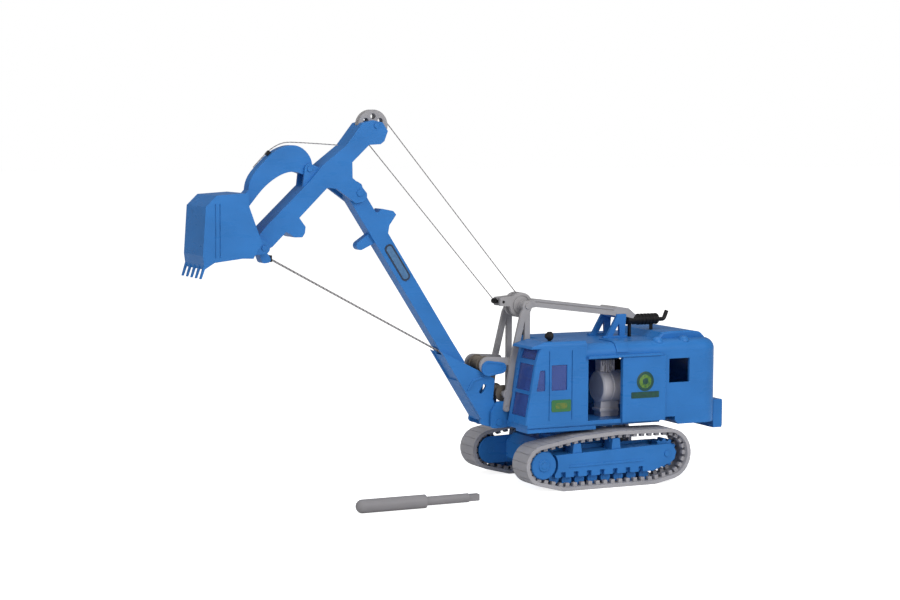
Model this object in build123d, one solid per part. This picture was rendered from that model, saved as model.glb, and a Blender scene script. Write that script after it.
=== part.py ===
from build123d import *
import os
from math import atan2, cos, degrees, hypot, pi, radians, sin, tan

# Rope-operated face-shovel excavator, a 1:87 plastic kit with a loose winding key.
# Millimetres. +X is the digging end, +Y the driver's side and +Z up.
# The origin lies on the ground, under the axis that the machinery house turns on.

os.makedirs("parts", exist_ok=True)

# ---------------------------------------------------------------- fits and stock
PIN_GAP = 0.05          # a bore is this much larger in radius than its running pin
SIDE_GAP = 0.2          # gap between a moving piece and the cheek beside it
LIFT_GAP = 0.3          # gap between surfaces that pass over each other
REST_GAP = 0.02         # gap under a wheel that rests on a curved or flat track
ROPE_D = 0.34           # braided cord

# ---------------------------------------------------------------- crawler tracks
GAUGE = 34.8            # from the middle of one track to the middle of the other
BELT_W = 9.0
BELT_T = 1.15
SHOE_PITCH = 2.62
SHOE_SLOT = 0.22        # width of the slot between two shoes
SHOE_SLOT_DEPTH = 0.15
LUG_LONG = 1.25
LUG_WIDE = 1.4
LUG_HIGH = 1.05
LUG_INSET = 1.3         # from the edge of the belt to its row of lugs
GROUND_LONG = 31.0      # flat run on the ground
GROUND_BEND = 3.0
IDLER_X, IDLER_Z, IDLER_BEND = 22.3, 8.0, 6.2
SPROCKET_X, SPROCKET_Z, SPROCKET_BEND = -20.6, 8.9, 7.8
RETURN_X, RETURN_TOP = (10.6, -2.8), (16.2, 17.0)
ROLLER_R = 1.6
ROAD_ROLLER_X = (17.7, 13.4, 9.0, 4.5, 0.0, -4.5, -9.0, -13.5)
FRONT_ROLLER_RISE = 0.66
AXLE_R = 1.0
HUB_R = 1.9
IDLER_R = 4.75
IDLER_DISC_R = 4.15
SPROCKET_TIP_R = 4.4
SPROCKET_ROOT_R = 3.7
SPROCKET_TEETH = 12
FRAME_INSET = 1.0       # from the outer edge of the belt to the face of the side frame
FRAME_PLATE = 0.8       # inner plate of the side frame
FRAME_CHEEK = 1.5       # outer plate over the sprocket
FRAME_FRONT_X, FRAME_LOW, FRAME_TOP = 18.4, 4.0, 10.8
FRAME_END_R = 3.0
NOTCH_W, NOTCH_H = 1.6, 1.6

# ---------------------------------------------------------------- undercarriage and turntable
CENTRE_FRONT, CENTRE_REAR = 17.0, -12.0
CENTRE_LOW, CENTRE_TOP = 4.0, 13.0
RING_R, RING_NECK_R, RING_TOP_R = 11.0, 9.6, 10.6
RING_FLANGE = 1.3
KING_PIN_R = 3.0
DECK_LOW, DECK_EDGE, DECK_TOP = 18.2, 18.9, 19.8
SKIRT_LOW, SKIRT_TOP, SKIRT_REAR = 17.45, 18.5, 3.2
SKIRT_GROOVE = 0.45     # depth of the groove between the skirt and the deck

# ---------------------------------------------------------------- machinery house
HALF_W = 18.5
WALL = 1.0
HOUSE_FRONT_L = 6.6     # bulkhead behind the cab
HOUSE_REAR = -41.2
CORNER_R = 6.0
EAVE = 39.7
ROOF_TOP = 43.2
ROOF_R = 3.3
HOOD_FRONT, HOOD_REAR, HOOD_TOP, HOOD_HALF, HOOD_EDGE_R = -22.1, -39.0, 45.25, 12.0, 0.7
STRAP_FRONT, STRAP_REAR, STRAP_T = -3.6, -7.6, 0.35     # strap over the shoulder of the roof
STRAP_INNER, STRAP_LOW = 8.0, 40.3
FRONT_FOOT_X, FRONT_HEAD_X = 14.4, 11.9     # leaning front wall beside the cab
CAB_INNER = 7.0         # inner side of the cab
DOORWAY = (-5.8, 6.0, 20.1, 38.6)
WINDOW = (-29.7, -22.4, 30.2, 37.6)
DECK_REAR = -19.9
BALLAST_FRONT = -24.7
BALLAST_LOW, BALLAST_TOP = 17.35, 22.7
SLAB_REAR, SLAB_LOW, SLAB_TOP, SLAB_HALF = -45.0, 14.8, 23.6, 14.5
DOOR_REAR, DOOR_FRONT = -20.8, -5.6
DOOR_LOW, DOOR_TOP = 19.0, 38.8
DOOR_T = 0.7
DOOR_GAP = 0.12
DOOR_TRAVEL = 12.2
RAIL_TOP, RAIL_T = 39.6, 0.5

# ---------------------------------------------------------------- driver's cab
CAB_FOOT_X, CAB_BROW_X, CAB_HEAD_X = 27.0, 23.7, 22.4
CAB_BROW_Z, CAB_HEAD_Z, CAB_ROOF_Z = 38.4, 42.4, 44.3
CAB_WALL = 0.9
VISOR_X = 25.4
GLASS_T = 0.3

# ---------------------------------------------------------------- mast, ropes and drums
LUG_PLATE = 1.0
LUG_INNER = 4.3         # inner face of a boom lug, from the middle of the machine
MAST_INNER = 5.3        # inner face of a mast frame
MAST_PLATE = 1.0
MAST_X, MAST_Z = 20.2, 54.1
MAST_HEAD_R = 3.8       # cheeks beside the rope wheel
MAST_CHEEK_T = 1.2
MAST_BOSS_R = 1.4
MAST_END_R = 1.6        # round end of a mast frame
MAST_LEG_W = 1.8
SHEAVE_ROPE_R, SHEAVE_RIM_R = 1.75, 2.6
SHEAVE_HALF = 0.8
HOIST_X, HOIST_Z, HOIST_R, HOIST_HALF = 26.5, 27.7, 2.1, 2.9
DRAG_X, DRAG_Z, DRAG_R, DRAG_HALF = 32.9, 36.6, 2.2, 2.7
DRUM_RIM = 0.45         # a drum's rim stands this far above its rope
DRUM_RIM_T = 0.35
DRUM_ARM_R = 2.6
COVER_R, COVER_T = 2.3, 0.7     # plate on the near arm of the front drum
SHAFT_R = 0.8
ROPE_TURNS = 7

# ---------------------------------------------------------------- gantry, stays and muffler
GANTRY_Y, GANTRY_T = 3.9, 1.2
STAY_Y, STAY_T, STAY_H, STAY_GROOVE = 3.4, 1.2, 2.3, 0.3
PIPE_Y, PIPE_Z, PIPE_R = 3.0, 48.4, 1.55
PIPE_FRONT, PIPE_REAR = -16.4, -27.3
PIPE_RIBS, PIPE_RIB_PITCH = 6, 1.25

# ---------------------------------------------------------------- boom
FOOT_X, FOOT_Z = 29.1, 19.3
HEAD_X, HEAD_Z = 74.1, 88.5
BOOM_HALF = 2.4
FRONT_LUG_HALF = 1.4
BOOM_PIN_R = 1.0
CHEEK_INNER, CHEEK_T = 3.1, 1.0
BOOM_END_R = 3.3

# ---------------------------------------------------------------- dipper stick and shovel
STICK_HALF = 3.8
STICK_CHEEK = 1.2
TOP_X, TOP_Z = 68.9, 107.9
TOP_ROPE_R, TOP_RIM_R = 4.2, 4.6
TOP_SLOT_HALF = 1.5
BRACE_X, BRACE_Z = 89.3, 95.4
BRACE_HALF = 1.9
TOE_X, TOE_Z = 104.0, 73.2
BUCKET_HALF = 8.1
BUCKET_WALL = 0.9
TOOTH_COUNT = 5
TOOTH_W = 1.1
BUCKET_GROOVES = (119.7, 118.4)     # shallow lines down the sides, near the lip
BUCKET_GROOVE_W, BUCKET_GROOVE_D = 0.3, 0.2
EYE_X, EYE_Z = 101.9, 70.2
HOOK_HALF = 1.9                      # hook under the toe, which carries the drag ropes' clip

# ---------------------------------------------------------------- winding key
KEY_Y, KEY_R, KEY_STEM_R = 28.7, 1.95, 1.3
KEY_GRIP = (64.8, 86.1)
KEY_TIP, KEY_SQUARE = 47.9, 51.2


# ---------------------------------------------------------------- helpers
def outline(*points):
    """Closed straight-sided face through the points."""
    return make_face(Polyline(*points, close=True))


def side(face, y0, y1):
    """Solid of a side view (X, Z) from y0 to y1."""
    return extrude(Plane.XZ.offset(-y1) * face, y1 - y0)


def plan(face, z0, z1):
    """Solid of a plan view (X, Y) from z0 to z1."""
    return extrude(Plane.XY.offset(z0) * face, z1 - z0)


def across(face, x0, x1):
    """Solid of a front view (Y, Z) from x0 to x1."""
    return extrude(Plane.YZ.offset(x0) * face, x1 - x0)


def disc(x, z, radius):
    """Round face in a side view."""
    return Pos(x, z) * Circle(radius)


def bar_y(x, z, radius, y0, y1):
    """Round bar across the machine."""
    return side(disc(x, z, radius), y0, y1)


def bar_x(x0, x1, y, z, radius):
    """Round bar along the machine."""
    return extrude(Plane.YZ.offset(x0) * Pos(y, z) * Circle(radius), x1 - x0)


def block(x0, x1, y0, y1, z0, z1):
    """Box between six faces."""
    return plan(outline((x0, y0), (x1, y0), (x1, y1), (x0, y1)), z0, z1)


def hull(*discs):
    """Face stretched round discs given as (x, z, radius)."""
    return make_hull([edge for x, z, radius in discs for edge in disc(x, z, radius).edges()])


def rounded(face, radius):
    """The face with its outward corners rounded."""
    return offset(offset(face, -radius, kind=Kind.INTERSECTION), radius, kind=Kind.ARC)


def to_right(shape):
    """The same piece on the other side of the machine."""
    return mirror(shape, Plane.XZ)


def both(shape):
    """A piece and its twin on the other side, in one node."""
    return Compound(children=list(shape.solids()) + list(to_right(shape).solids()))


def turned(profile, x, z, y0):
    """Revolve (radius, width) points round an axis across the machine, starting at y0."""
    face = outline(*[(r, y) for r, y in profile])
    solid = revolve(Plane.XY * face, Axis.Y)
    return Pos(x, y0, z) * solid


NODES = {}

# ================================================================ crawler tracks
belt_in = GAUGE / 2 - BELT_W / 2
belt_out = GAUGE / 2 + BELT_W / 2
return_bend = ROLLER_R + BELT_T
return_z = [top - return_bend for top in RETURN_TOP]
ground_x = GROUND_LONG / 2


def track_loop(depth):
    """Side view of the belt's path, moved inward from the ground side by depth."""
    return hull(
        (IDLER_X, IDLER_Z, IDLER_BEND - depth),
        (SPROCKET_X, SPROCKET_Z, SPROCKET_BEND - depth),
        (ground_x, GROUND_BEND, GROUND_BEND - depth),
        (-ground_x, GROUND_BEND, GROUND_BEND - depth),
        (RETURN_X[0], return_z[0], return_bend - depth),
        (RETURN_X[1], return_z[1], return_bend - depth),
    )


track_outside = track_loop(0)
path = track_outside.wire()
shoe_count = round(path.length / SHOE_PITCH)
loop_middle = track_outside.center()


def along_belt(step, depth, length, height):
    """Rectangle that follows the belt, at a step in shoes and a depth below the shoe face."""
    place = step * path.length / shoe_count
    point = path.position_at(place, position_mode=PositionMode.LENGTH)
    run = path.tangent_at(place / path.length)
    inward = Vector(-run.Y, run.X)
    if inward.dot(loop_middle - point) < 0:
        inward = inward * -1
    spot = point + inward * depth
    return Pos(spot.X, spot.Y) * Rot(0, 0, degrees(atan2(run.Y, run.X))) * Rectangle(length, height)


slots = Sketch() + [along_belt(i, 0, SHOE_SLOT, 2 * SHOE_SLOT_DEPTH) for i in range(shoe_count)]
lugs = [along_belt(i + 0.5, BELT_T + LUG_HIGH / 2 - 0.1, LUG_LONG, LUG_HIGH + 0.2)
        for i in range(shoe_count)]
lug_face = Sketch() + lugs
belt_face = track_outside - track_loop(BELT_T) - slots
belt = side(belt_face, belt_in, belt_out)
for row in (belt_in + LUG_INSET, belt_out - LUG_INSET - LUG_WIDE):
    belt += side(lug_face, row, row + LUG_WIDE)
NODES["track_belt_left"] = belt

# wheels run between the two rows of lugs
wheel_in = belt_in + LUG_INSET + LUG_WIDE + SIDE_GAP
wheel_out = belt_out - LUG_INSET - LUG_WIDE - SIDE_GAP
frame_out = belt_out - FRAME_INSET
frame_in = belt_in
plate_out = frame_in + FRAME_PLATE
cheek_in = frame_out - FRAME_CHEEK

road_z = BELT_T + ROLLER_R + REST_GAP


def roller(x, z):
    """Flanged roller, thinner in the middle."""
    wide = wheel_out - wheel_in
    waist = ROLLER_R - 0.35
    return turned([(0, 0), (ROLLER_R, 0), (ROLLER_R, wide / 3), (waist, wide / 3 + 0.2),
                   (waist, wide * 2 / 3 - 0.2), (ROLLER_R, wide * 2 / 3), (ROLLER_R, wide),
                   (0, wide)], x, z, wheel_in)


road = [roller(x, road_z + (FRONT_ROLLER_RISE if i == 0 else 0)) for i, x in enumerate(ROAD_ROLLER_X)]
NODES["road_rollers"] = both(Compound(children=road))

core_rear = SPROCKET_X + SPROCKET_TIP_R + 2 * LIFT_GAP
cheek_face = hull((FRAME_FRONT_X - 0.5, FRAME_LOW + 0.5, 0.5), (FRAME_FRONT_X - 0.5, FRAME_TOP - 0.5, 0.5),
                  (core_rear, FRAME_LOW + 0.5, 0.5), (SPROCKET_X, SPROCKET_Z, FRAME_END_R))
core_face = cheek_face & outline((core_rear, 0), (30, 0), (30, 20), (core_rear, 20))
notches = Sketch() + [
    Pos((a + b) / 2, FRAME_LOW) * Rectangle(NOTCH_W, 2 * NOTCH_H)
    for a, b in zip(ROAD_ROLLER_X[:-1], ROAD_ROLLER_X[1:])
]
plate_face = hull((IDLER_X, IDLER_Z, IDLER_DISC_R), (SPROCKET_X, SPROCKET_Z, FRAME_END_R + 0.5),
                  (CENTRE_REAR, FRAME_LOW + 1, 1), (FRAME_FRONT_X, FRAME_LOW + 1, 1),
                  (CENTRE_REAR, 11.4, 1), (13.0, 11.4, 1))
frame = side(cheek_face - notches, cheek_in, frame_out) + side(core_face, plate_out, cheek_in)
frame -= bar_y(IDLER_X, IDLER_Z, IDLER_R + SIDE_GAP, plate_out, frame_out)
frame += side(plate_face, frame_in, plate_out)
rib = rounded(outline((-12, 7.2), (13.5, 6.9), (13.5, 7.5), (-12, 7.8)), 0.25)
frame += side(rib, frame_out, frame_out + 0.25)
idler_pin = bar_y(IDLER_X, IDLER_Z, AXLE_R, frame_in, belt_out - 0.3)
sprocket_pin = bar_y(SPROCKET_X, SPROCKET_Z, AXLE_R, frame_in, frame_out + 0.3)
frame -= idler_pin
frame -= sprocket_pin
for wheel in road:
    frame -= wheel
NODES["side_frame_left"] = frame
NODES["wheel_axles"] = both(Compound(children=[idler_pin, sprocket_pin]))

post_out = frame_out - 0.5
carriers = []
for x, z in zip(RETURN_X, return_z):
    tip = z + return_bend - BELT_T - LUG_HIGH - SIDE_GAP
    post = side(outline((x - 1.7, 10), (x + 1.7, 10), (x + 1.2, tip), (x - 1.2, tip)), wheel_in, post_out)
    post -= bar_y(x, z - REST_GAP, ROLLER_R, wheel_out, post_out) if tip > z + ROLLER_R else Part()
    carriers.append((post + roller(x, z - REST_GAP)) - frame)
NODES["return_rollers"] = both(Compound(children=[c.solids().sort_by(Axis.Z)[-1] for c in carriers]))

idler_bore = bar_y(IDLER_X, IDLER_Z, AXLE_R + PIN_GAP, frame_in, belt_out)
hub_in = plate_out + SIDE_GAP
disc_in = frame_out - 0.1
idler = turned([(0, 0), (HUB_R, 0), (HUB_R, wheel_in - hub_in), (IDLER_R, wheel_in - hub_in),
                (IDLER_R, wheel_out - hub_in), (HUB_R + 0.4, wheel_out - hub_in),
                (HUB_R + 0.4, disc_in - hub_in), (IDLER_DISC_R, disc_in - hub_in),
                (IDLER_DISC_R, disc_in + 0.2 - hub_in), (IDLER_DISC_R - 0.3, disc_in + 0.5 - hub_in),
                (HUB_R, disc_in + 0.35 - hub_in), (HUB_R - 0.3, disc_in + 0.75 - hub_in),
                (0, disc_in + 0.75 - hub_in)], IDLER_X, IDLER_Z, hub_in) - idler_bore
NODES["idler_left"] = idler

tooth = Pos((SPROCKET_TIP_R + SPROCKET_ROOT_R) / 2 - 0.3, 0) * Rot(0, 0, -90) * Trapezoid(
    1.5, SPROCKET_TIP_R - SPROCKET_ROOT_R + 0.6, 75)
gear_face = Circle(SPROCKET_ROOT_R) + [Rot(0, 0, i * 360 / SPROCKET_TEETH) * tooth
                                       for i in range(SPROCKET_TEETH)]
sprocket = side(Pos(SPROCKET_X, SPROCKET_Z) * gear_face, wheel_in, wheel_out)
sprocket += bar_y(SPROCKET_X, SPROCKET_Z, HUB_R, hub_in, cheek_in - SIDE_GAP)
sprocket -= bar_y(SPROCKET_X, SPROCKET_Z, AXLE_R + PIN_GAP, frame_in, frame_out)
NODES["sprocket_left"] = sprocket

for name in ("track_belt", "side_frame", "idler", "sprocket"):
    NODES[name + "_right"] = to_right(NODES[name + "_left"])

# ================================================================ centre frame and turntable
centre = side(outline((CENTRE_REAR, CENTRE_LOW + 0.8), (CENTRE_REAR + 0.8, CENTRE_LOW),
                      (CENTRE_FRONT - 1.5, CENTRE_LOW), (CENTRE_FRONT, CENTRE_LOW + 1.5),
                      (CENTRE_FRONT, CENTRE_TOP - 2.5), (CENTRE_FRONT - 2.5, CENTRE_TOP),
                      (CENTRE_REAR + 3.5, CENTRE_TOP), (CENTRE_REAR, CENTRE_TOP - 3.5)),
              -frame_in, frame_in)
NODES["centre_frame"] = centre

ring_top = DECK_LOW - LIFT_GAP
pin_top = DECK_TOP - 0.7
ring_face = outline((0, CENTRE_TOP), (RING_R, CENTRE_TOP), (RING_R, CENTRE_TOP + RING_FLANGE),
                    (RING_NECK_R, CENTRE_TOP + RING_FLANGE), (RING_NECK_R, ring_top - RING_FLANGE),
                    (RING_TOP_R, ring_top - RING_FLANGE), (RING_TOP_R, ring_top),
                    (KING_PIN_R, ring_top), (KING_PIN_R, pin_top - 0.2), (KING_PIN_R - 0.2, pin_top),
                    (0, pin_top))
NODES["slew_ring"] = revolve(Plane.XZ * ring_face, Axis.Z)

# ================================================================ platform deck with the boom lugs
tongue = MAST_INNER + MAST_PLATE + 0.3
cab_front = CAB_FOOT_X - 0.5
deck_plan = outline((DECK_REAR, -HALF_W), (FRONT_FOOT_X, -HALF_W), (FRONT_FOOT_X, -tongue),
                    (cab_front, -tongue), (cab_front, HALF_W), (DECK_REAR, HALF_W))
deck = plan(deck_plan, DECK_EDGE, DECK_TOP)
deck += plan(outline((DECK_REAR, -HALF_W + 1.2), (FRONT_FOOT_X - 1.2, -HALF_W + 1.2),
                     (FRONT_FOOT_X - 1.2, -tongue + 0.6), (cab_front, -tongue + 0.6),
                     (cab_front, HALF_W - 1.2), (DECK_REAR, HALF_W - 1.2)), DECK_LOW, DECK_EDGE)
deck += block(SKIRT_REAR, cab_front, RING_R + LIFT_GAP, HALF_W, SKIRT_LOW, SKIRT_TOP)
deck += block(SKIRT_REAR, cab_front, RING_R + LIFT_GAP, HALF_W - SKIRT_GROOVE, SKIRT_TOP, DECK_EDGE)
deck += block(BALLAST_FRONT, DECK_REAR, -HALF_W + 4.5, HALF_W - 4.5, DECK_LOW, DECK_TOP - 0.3)
lug_plate = fillet(outline((25.0, 17.6), (31.7, 17.6), (31.7, 22.6), (29.6, 25.6), (25.0, 25.6))
                   .vertices().sort_by(Axis.X)[-3:], 0.8)
lug_plate -= disc(FOOT_X, FOOT_Z, BOOM_PIN_R)
mast_foot = (27.0, 23.4)
lug_plate -= disc(*mast_foot, SHAFT_R)
for y in (LUG_INNER, -LUG_INNER - LUG_PLATE):
    deck += side(lug_plate, y, y + LUG_PLATE)
deck -= plan(Circle(KING_PIN_R + PIN_GAP), DECK_LOW, pin_top + LIFT_GAP)
NODES["platform_deck"] = deck

# ================================================================ ballast
shell_plan = outline((HOUSE_REAR, -HALF_W), (30, -HALF_W), (30, HALF_W), (HOUSE_REAR, HALF_W))
rear_corners = shell_plan.vertices().sort_by(Axis.X)[:2]
shell_plan = fillet(rear_corners, CORNER_R)


def shell_zone(x0, x1, y0=-30, y1=30):
    """Part of the house's plan between two stations."""
    return shell_plan & outline((x0, y0), (x1, y0), (x1, y1), (x0, y1))


ballast = plan(shell_zone(-60, BALLAST_FRONT), BALLAST_LOW, BALLAST_TOP)
ballast = chamfer(ballast.faces().sort_by(Axis.Z)[0].edges().sort_by(Axis.X)[-1], 1.2)
slab = block(SLAB_REAR, HOUSE_REAR, -SLAB_HALF, SLAB_HALF, SLAB_LOW, SLAB_TOP)
slab = chamfer(slab.edges().filter_by(Axis.Y).sort_by(Axis.X)[:2], 0.7)
slab = chamfer(slab.edges().filter_by(Axis.Z).sort_by(Axis.X)[:2], 0.7)
NODES["counterweight"] = ballast + slab

# ================================================================ machinery house
lean = outline((-60, 0), (FRONT_FOOT_X + (FRONT_FOOT_X - FRONT_HEAD_X) * (DECK_TOP / (EAVE - DECK_TOP)), 0),
               (FRONT_HEAD_X - (FRONT_FOOT_X - FRONT_HEAD_X) * (20 / (EAVE - DECK_TOP)), EAVE + 20), (-60, EAVE + 20))
lean_solid = side(lean, -30, 30)
lean_inner = Pos(-WALL, 0, 0) * lean_solid
house_plan = shell_zone(-60, 30) - outline((HOUSE_FRONT_L, CAB_INNER), (40, CAB_INNER), (40, 30),
                                           (HOUSE_FRONT_L, 30))
inner_plan = offset(shell_plan, -WALL, kind=Kind.INTERSECTION) & outline(
    (-60, -30), (40, -30), (40, CAB_INNER - WALL), (HOUSE_FRONT_L - WALL, CAB_INNER - WALL),
    (HOUSE_FRONT_L - WALL, 30), (-60, 30))
inner_plan = inner_plan + outline((0, -HALF_W + WALL), (40, -HALF_W + WALL), (40, CAB_INNER - WALL), (0, CAB_INNER - WALL))
walls = (plan(house_plan, DECK_TOP, EAVE) & lean_solid) - (plan(inner_plan, DECK_TOP, EAVE) & lean_inner)
walls -= block(-60, BALLAST_FRONT, -30, 30, 0, BALLAST_TOP)
x0, x1, z0, z1 = DOORWAY
walls -= block(x0, x1, HALF_W - 2 * WALL, HALF_W + 1, z0, z1)
x0, x1, z0, z1 = WINDOW
walls -= block(x0, x1, -HALF_W - 1, HALF_W + 1, z0, z1)
NODES["house_walls"] = walls

roof = plan(house_plan, EAVE, ROOF_TOP) & lean_solid
brim = roof.faces().sort_by(Axis.Z)[-1].edges().filter_by(
    lambda e: abs(abs(e.center().Y) - HALF_W) < 0.1 or e.center().X < HOUSE_REAR + CORNER_R)
roof = fillet(brim, ROOF_R)
NODES["house_roof"] = roof

strap_face = outline((STRAP_INNER, EAVE - 5), (HALF_W + STRAP_T, EAVE - 5), (HALF_W + STRAP_T, ROOF_TOP + STRAP_T),
                     (STRAP_INNER, ROOF_TOP + STRAP_T))
strap_face = fillet(strap_face.vertices().sort_by(lambda v: v.X + v.Y)[-1:], ROOF_R + STRAP_T)
strap_face &= outline((0, STRAP_LOW), (30, STRAP_LOW), (30, 60), (0, 60))
NODES["roof_strap"] = across(strap_face, STRAP_REAR, STRAP_FRONT) - roof

hood_face = outline((HOOD_FRONT, ROOF_TOP), (HOOD_FRONT - 1.9, HOOD_TOP - 0.3), (HOOD_FRONT - 5.0, HOOD_TOP),
                    (HOOD_REAR + 5.0, HOOD_TOP), (HOOD_REAR + 1.6, HOOD_TOP - 0.5), (HOOD_REAR, ROOF_TOP),
                    (HOOD_REAR, ROOF_TOP - 1), (HOOD_FRONT, ROOF_TOP - 1))
hood = side(hood_face, -HOOD_HALF, HOOD_HALF)
hood = fillet(hood.edges().filter_by(
    lambda e: abs(abs(e.center().Y) - HOOD_HALF) < 0.01 and e.center().Z > ROOF_TOP + 0.8), HOOD_EDGE_R)
NODES["rear_hood"] = hood - roof

vents = []
for x in (-19.7, -29.1):
    cap = Pos(x, 15.6, 42.3) * Sphere(1.9)
    vents.append((cap & block(x - 3, x + 3, 10, 30, ROOF_TOP - 3, 50)) - roof - hood)
NODES["roof_vents"] = Compound(children=[v.solids().sort_by(Axis.Z)[-1] for v in vents])

rail = block(DOOR_REAR + 1.8, HOUSE_FRONT_L, HALF_W, HALF_W + DOOR_GAP + DOOR_T + RAIL_T, DOOR_TOP + DOOR_GAP, RAIL_TOP)
NODES["door_rail"] = rail
door = block(DOOR_REAR, DOOR_FRONT, HALF_W + DOOR_GAP, HALF_W + DOOR_GAP + DOOR_T, DOOR_LOW, DOOR_TOP)
door = fillet(door.edges().filter_by(Axis.Z).group_by(Axis.Y)[-1], 0.3)
NODES["sliding_door"] = door

# ================================================================ engine in the doorway
engine_y = 8.0
base = block(-9.6, -3.4, engine_y - 2.0, engine_y + 2.0, DECK_TOP, 24.4)
base += block(-9.6, -2.9, engine_y - 2.4, engine_y + 2.4, 21.4, 22.2)
barrel = turned([(0, 0), (4.4, 0), (4.9, 0.5), (4.9, 3.0), (4.6, 3.2), (4.6, 3.5), (4.9, 3.7), (4.9, 6.6),
                 (4.6, 6.8), (4.6, 7.1), (4.9, 7.3), (4.9, 8.1), (4.4, 8.6), (0, 8.6)], 0, 0, 0)
barrel = Pos(-2.9, engine_y, 28.8) * Rot(0, 0, 90) * barrel
NODES["engine_base"] = base - barrel
NODES["engine_drum"] = barrel
fins = Part() + [block(-8.4 + i * 0.9, -7.95 + i * 0.9, engine_y - 1.6, engine_y + 1.6, 32.6, 37.0) for i in range(6)]
fins += block(-8.4, -3.45, engine_y - 0.9, engine_y + 0.9, 32.6, 36.6)
fins = (fins - bar_x(-9.0, -3.0, engine_y, 28.8, 4.93)).solids().sort_by(Axis.Z)[-1]
NODES["engine_head"] = fins
pipe = bar_y(-11.2, 34.3, 2.6, engine_y - 5.2, engine_y - 0.4) + bar_y(-11.2, 34.3, 2.9, engine_y - 3.6, engine_y - 3.0)
pipe += block(-11.9, -10.5, engine_y - 3.4, engine_y - 1.8, DECK_TOP, 34.3)
NODES["air_filter"] = pipe - barrel - base

# ================================================================ driver's cab
def cab_line(z, back=0.0):
    """Front of the cab at a height, moved back by an amount."""
    if z <= CAB_BROW_Z:
        return CAB_FOOT_X + (CAB_BROW_X - CAB_FOOT_X) * (z - DECK_TOP) / (CAB_BROW_Z - DECK_TOP) - back
    return CAB_BROW_X + (CAB_HEAD_X - CAB_BROW_X) * (z - CAB_BROW_Z) / (CAB_HEAD_Z - CAB_BROW_Z) - back


def cab_face(back):
    """Side view of the cab inside its walls."""
    return outline((HOUSE_FRONT_L + back, DECK_TOP), (cab_line(DECK_TOP, back), DECK_TOP),
                   (cab_line(CAB_BROW_Z, back), CAB_BROW_Z), (cab_line(CAB_HEAD_Z, back), CAB_HEAD_Z),
                   (HOUSE_FRONT_L + back, CAB_HEAD_Z))


cab = side(cab_face(0), CAB_INNER, HALF_W)
front_posts = cab.edges().filter_by(lambda e: e.center().X > CAB_HEAD_X and abs(e.center().Y - HALF_W) < 0.01
                                    and e.length > 3)
cab = fillet(front_posts, 0.8)
cab -= side(cab_face(CAB_WALL), CAB_INNER + CAB_WALL, HALF_W - CAB_WALL)
glazing = []


def pane_side(*points, y0=HALF_W - CAB_WALL, y1=HALF_W):
    """Window in a side wall, with its pane set back in the opening."""
    global cab
    face = rounded(outline(*points), 0.35)
    cab -= side(face, y0 - 0.05, y1 + 0.05)
    middle = (y0 + y1) / 2
    glazing.append(side(face, middle - GLASS_T / 2, middle + GLASS_T / 2))


def pane_front(z0, z1, y0=8.4, y1=17.1):
    """Window in the leaning front, with its pane set back in the opening."""
    global cab
    cut = outline((cab_line(z0, 1.2), z0), (cab_line(z0, -0.3), z0), (cab_line(z1, -0.3), z1), (cab_line(z1, 1.2), z1))
    cab -= side(cut, y0, y1)
    sheet = outline((cab_line(z0, 0.6), z0), (cab_line(z0, 0.3), z0), (cab_line(z1, 0.3), z1), (cab_line(z1, 0.6), z1))
    glazing.append(side(sheet, y0, y1))


pane_side((13.2, 29.8), (18.5, 29.8), (18.5, 37.4), (13.2, 37.4))
pane_side((20.6, 29.8), (23.6, 29.8), (22.4, 36.0), (20.6, 36.0))
pane_side((14.4, 29.8), (22.0, 29.8), (20.8, 37.4), (14.4, 37.4), y0=CAB_INNER, y1=CAB_INNER + CAB_WALL)
pane_front(22.2, 28.8)
pane_front(29.8, 37.6)
pane_front(39.0, 41.9)
for x in (19.3, 11.6):
    cab -= block(x - 0.15, x + 0.15, HALF_W - 0.25, HALF_W + 1, 20.8, 41.6)
NODES["cab_shell"] = cab
NODES["cab_glazing"] = Compound(children=glazing)
roof_face = fillet(outline((HOUSE_FRONT_L, CAB_HEAD_Z), (VISOR_X, CAB_HEAD_Z), (VISOR_X - 0.4, CAB_HEAD_Z + 0.7),
                           (20.5, CAB_ROOF_Z), (HOUSE_FRONT_L, CAB_ROOF_Z)).vertices().sort_by(Axis.X)[2:4], 0.5)
roof_section = outline((CAB_INNER - 0.4, 40), (HALF_W, 40), (HALF_W, CAB_ROOF_Z), (CAB_INNER - 0.4, CAB_ROOF_Z))
roof_section = fillet(roof_section.vertices().sort_by(lambda v: v.X + v.Y)[-1:], 1.3)
cab_roof = (side(roof_face, CAB_INNER - 0.4, HALF_W) & across(roof_section, 0, 40)) - roof
NODES["cab_roof"] = cab_roof
seat = side(rounded(outline((10.0, DECK_TOP + 4), (15.2, DECK_TOP + 4), (15.2, DECK_TOP + 5.6),
                            (11.8, DECK_TOP + 5.4), (11.2, DECK_TOP + 11.5), (9.8, DECK_TOP + 11.5)), 0.4), 10.4, 15.4)
seat += block(11.2, 13.8, 11.6, 14.2, DECK_TOP, DECK_TOP + 4.2)
NODES["driver_seat"] = seat
levers = Part()
for y in (10.6, 12.8, 15.0):
    stem = Plane(origin=(18.4, y, DECK_TOP + 0.4), z_dir=(0.12, 0, 1)) * Cylinder(0.35, 6.0, align=(Align.CENTER, Align.CENTER, Align.MIN))
    levers += stem + Pos(18.4 + 0.77, y, DECK_TOP + 6.5) * Sphere(0.6)
levers += block(17.4, 19.6, 9.8, 15.8, DECK_TOP, DECK_TOP + 0.9)
NODES["control_levers"] = levers
lamp = turned([(0, 0), (1.0, 0), (1.3, 0.3), (1.3, 1.3), (0.6, 2.2), (0, 2.2)], 0, 0, 0)
lamp = Pos(16.6, 15.0, CAB_ROOF_Z + 1.5) * Rot(0, 0, -90) * lamp
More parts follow.
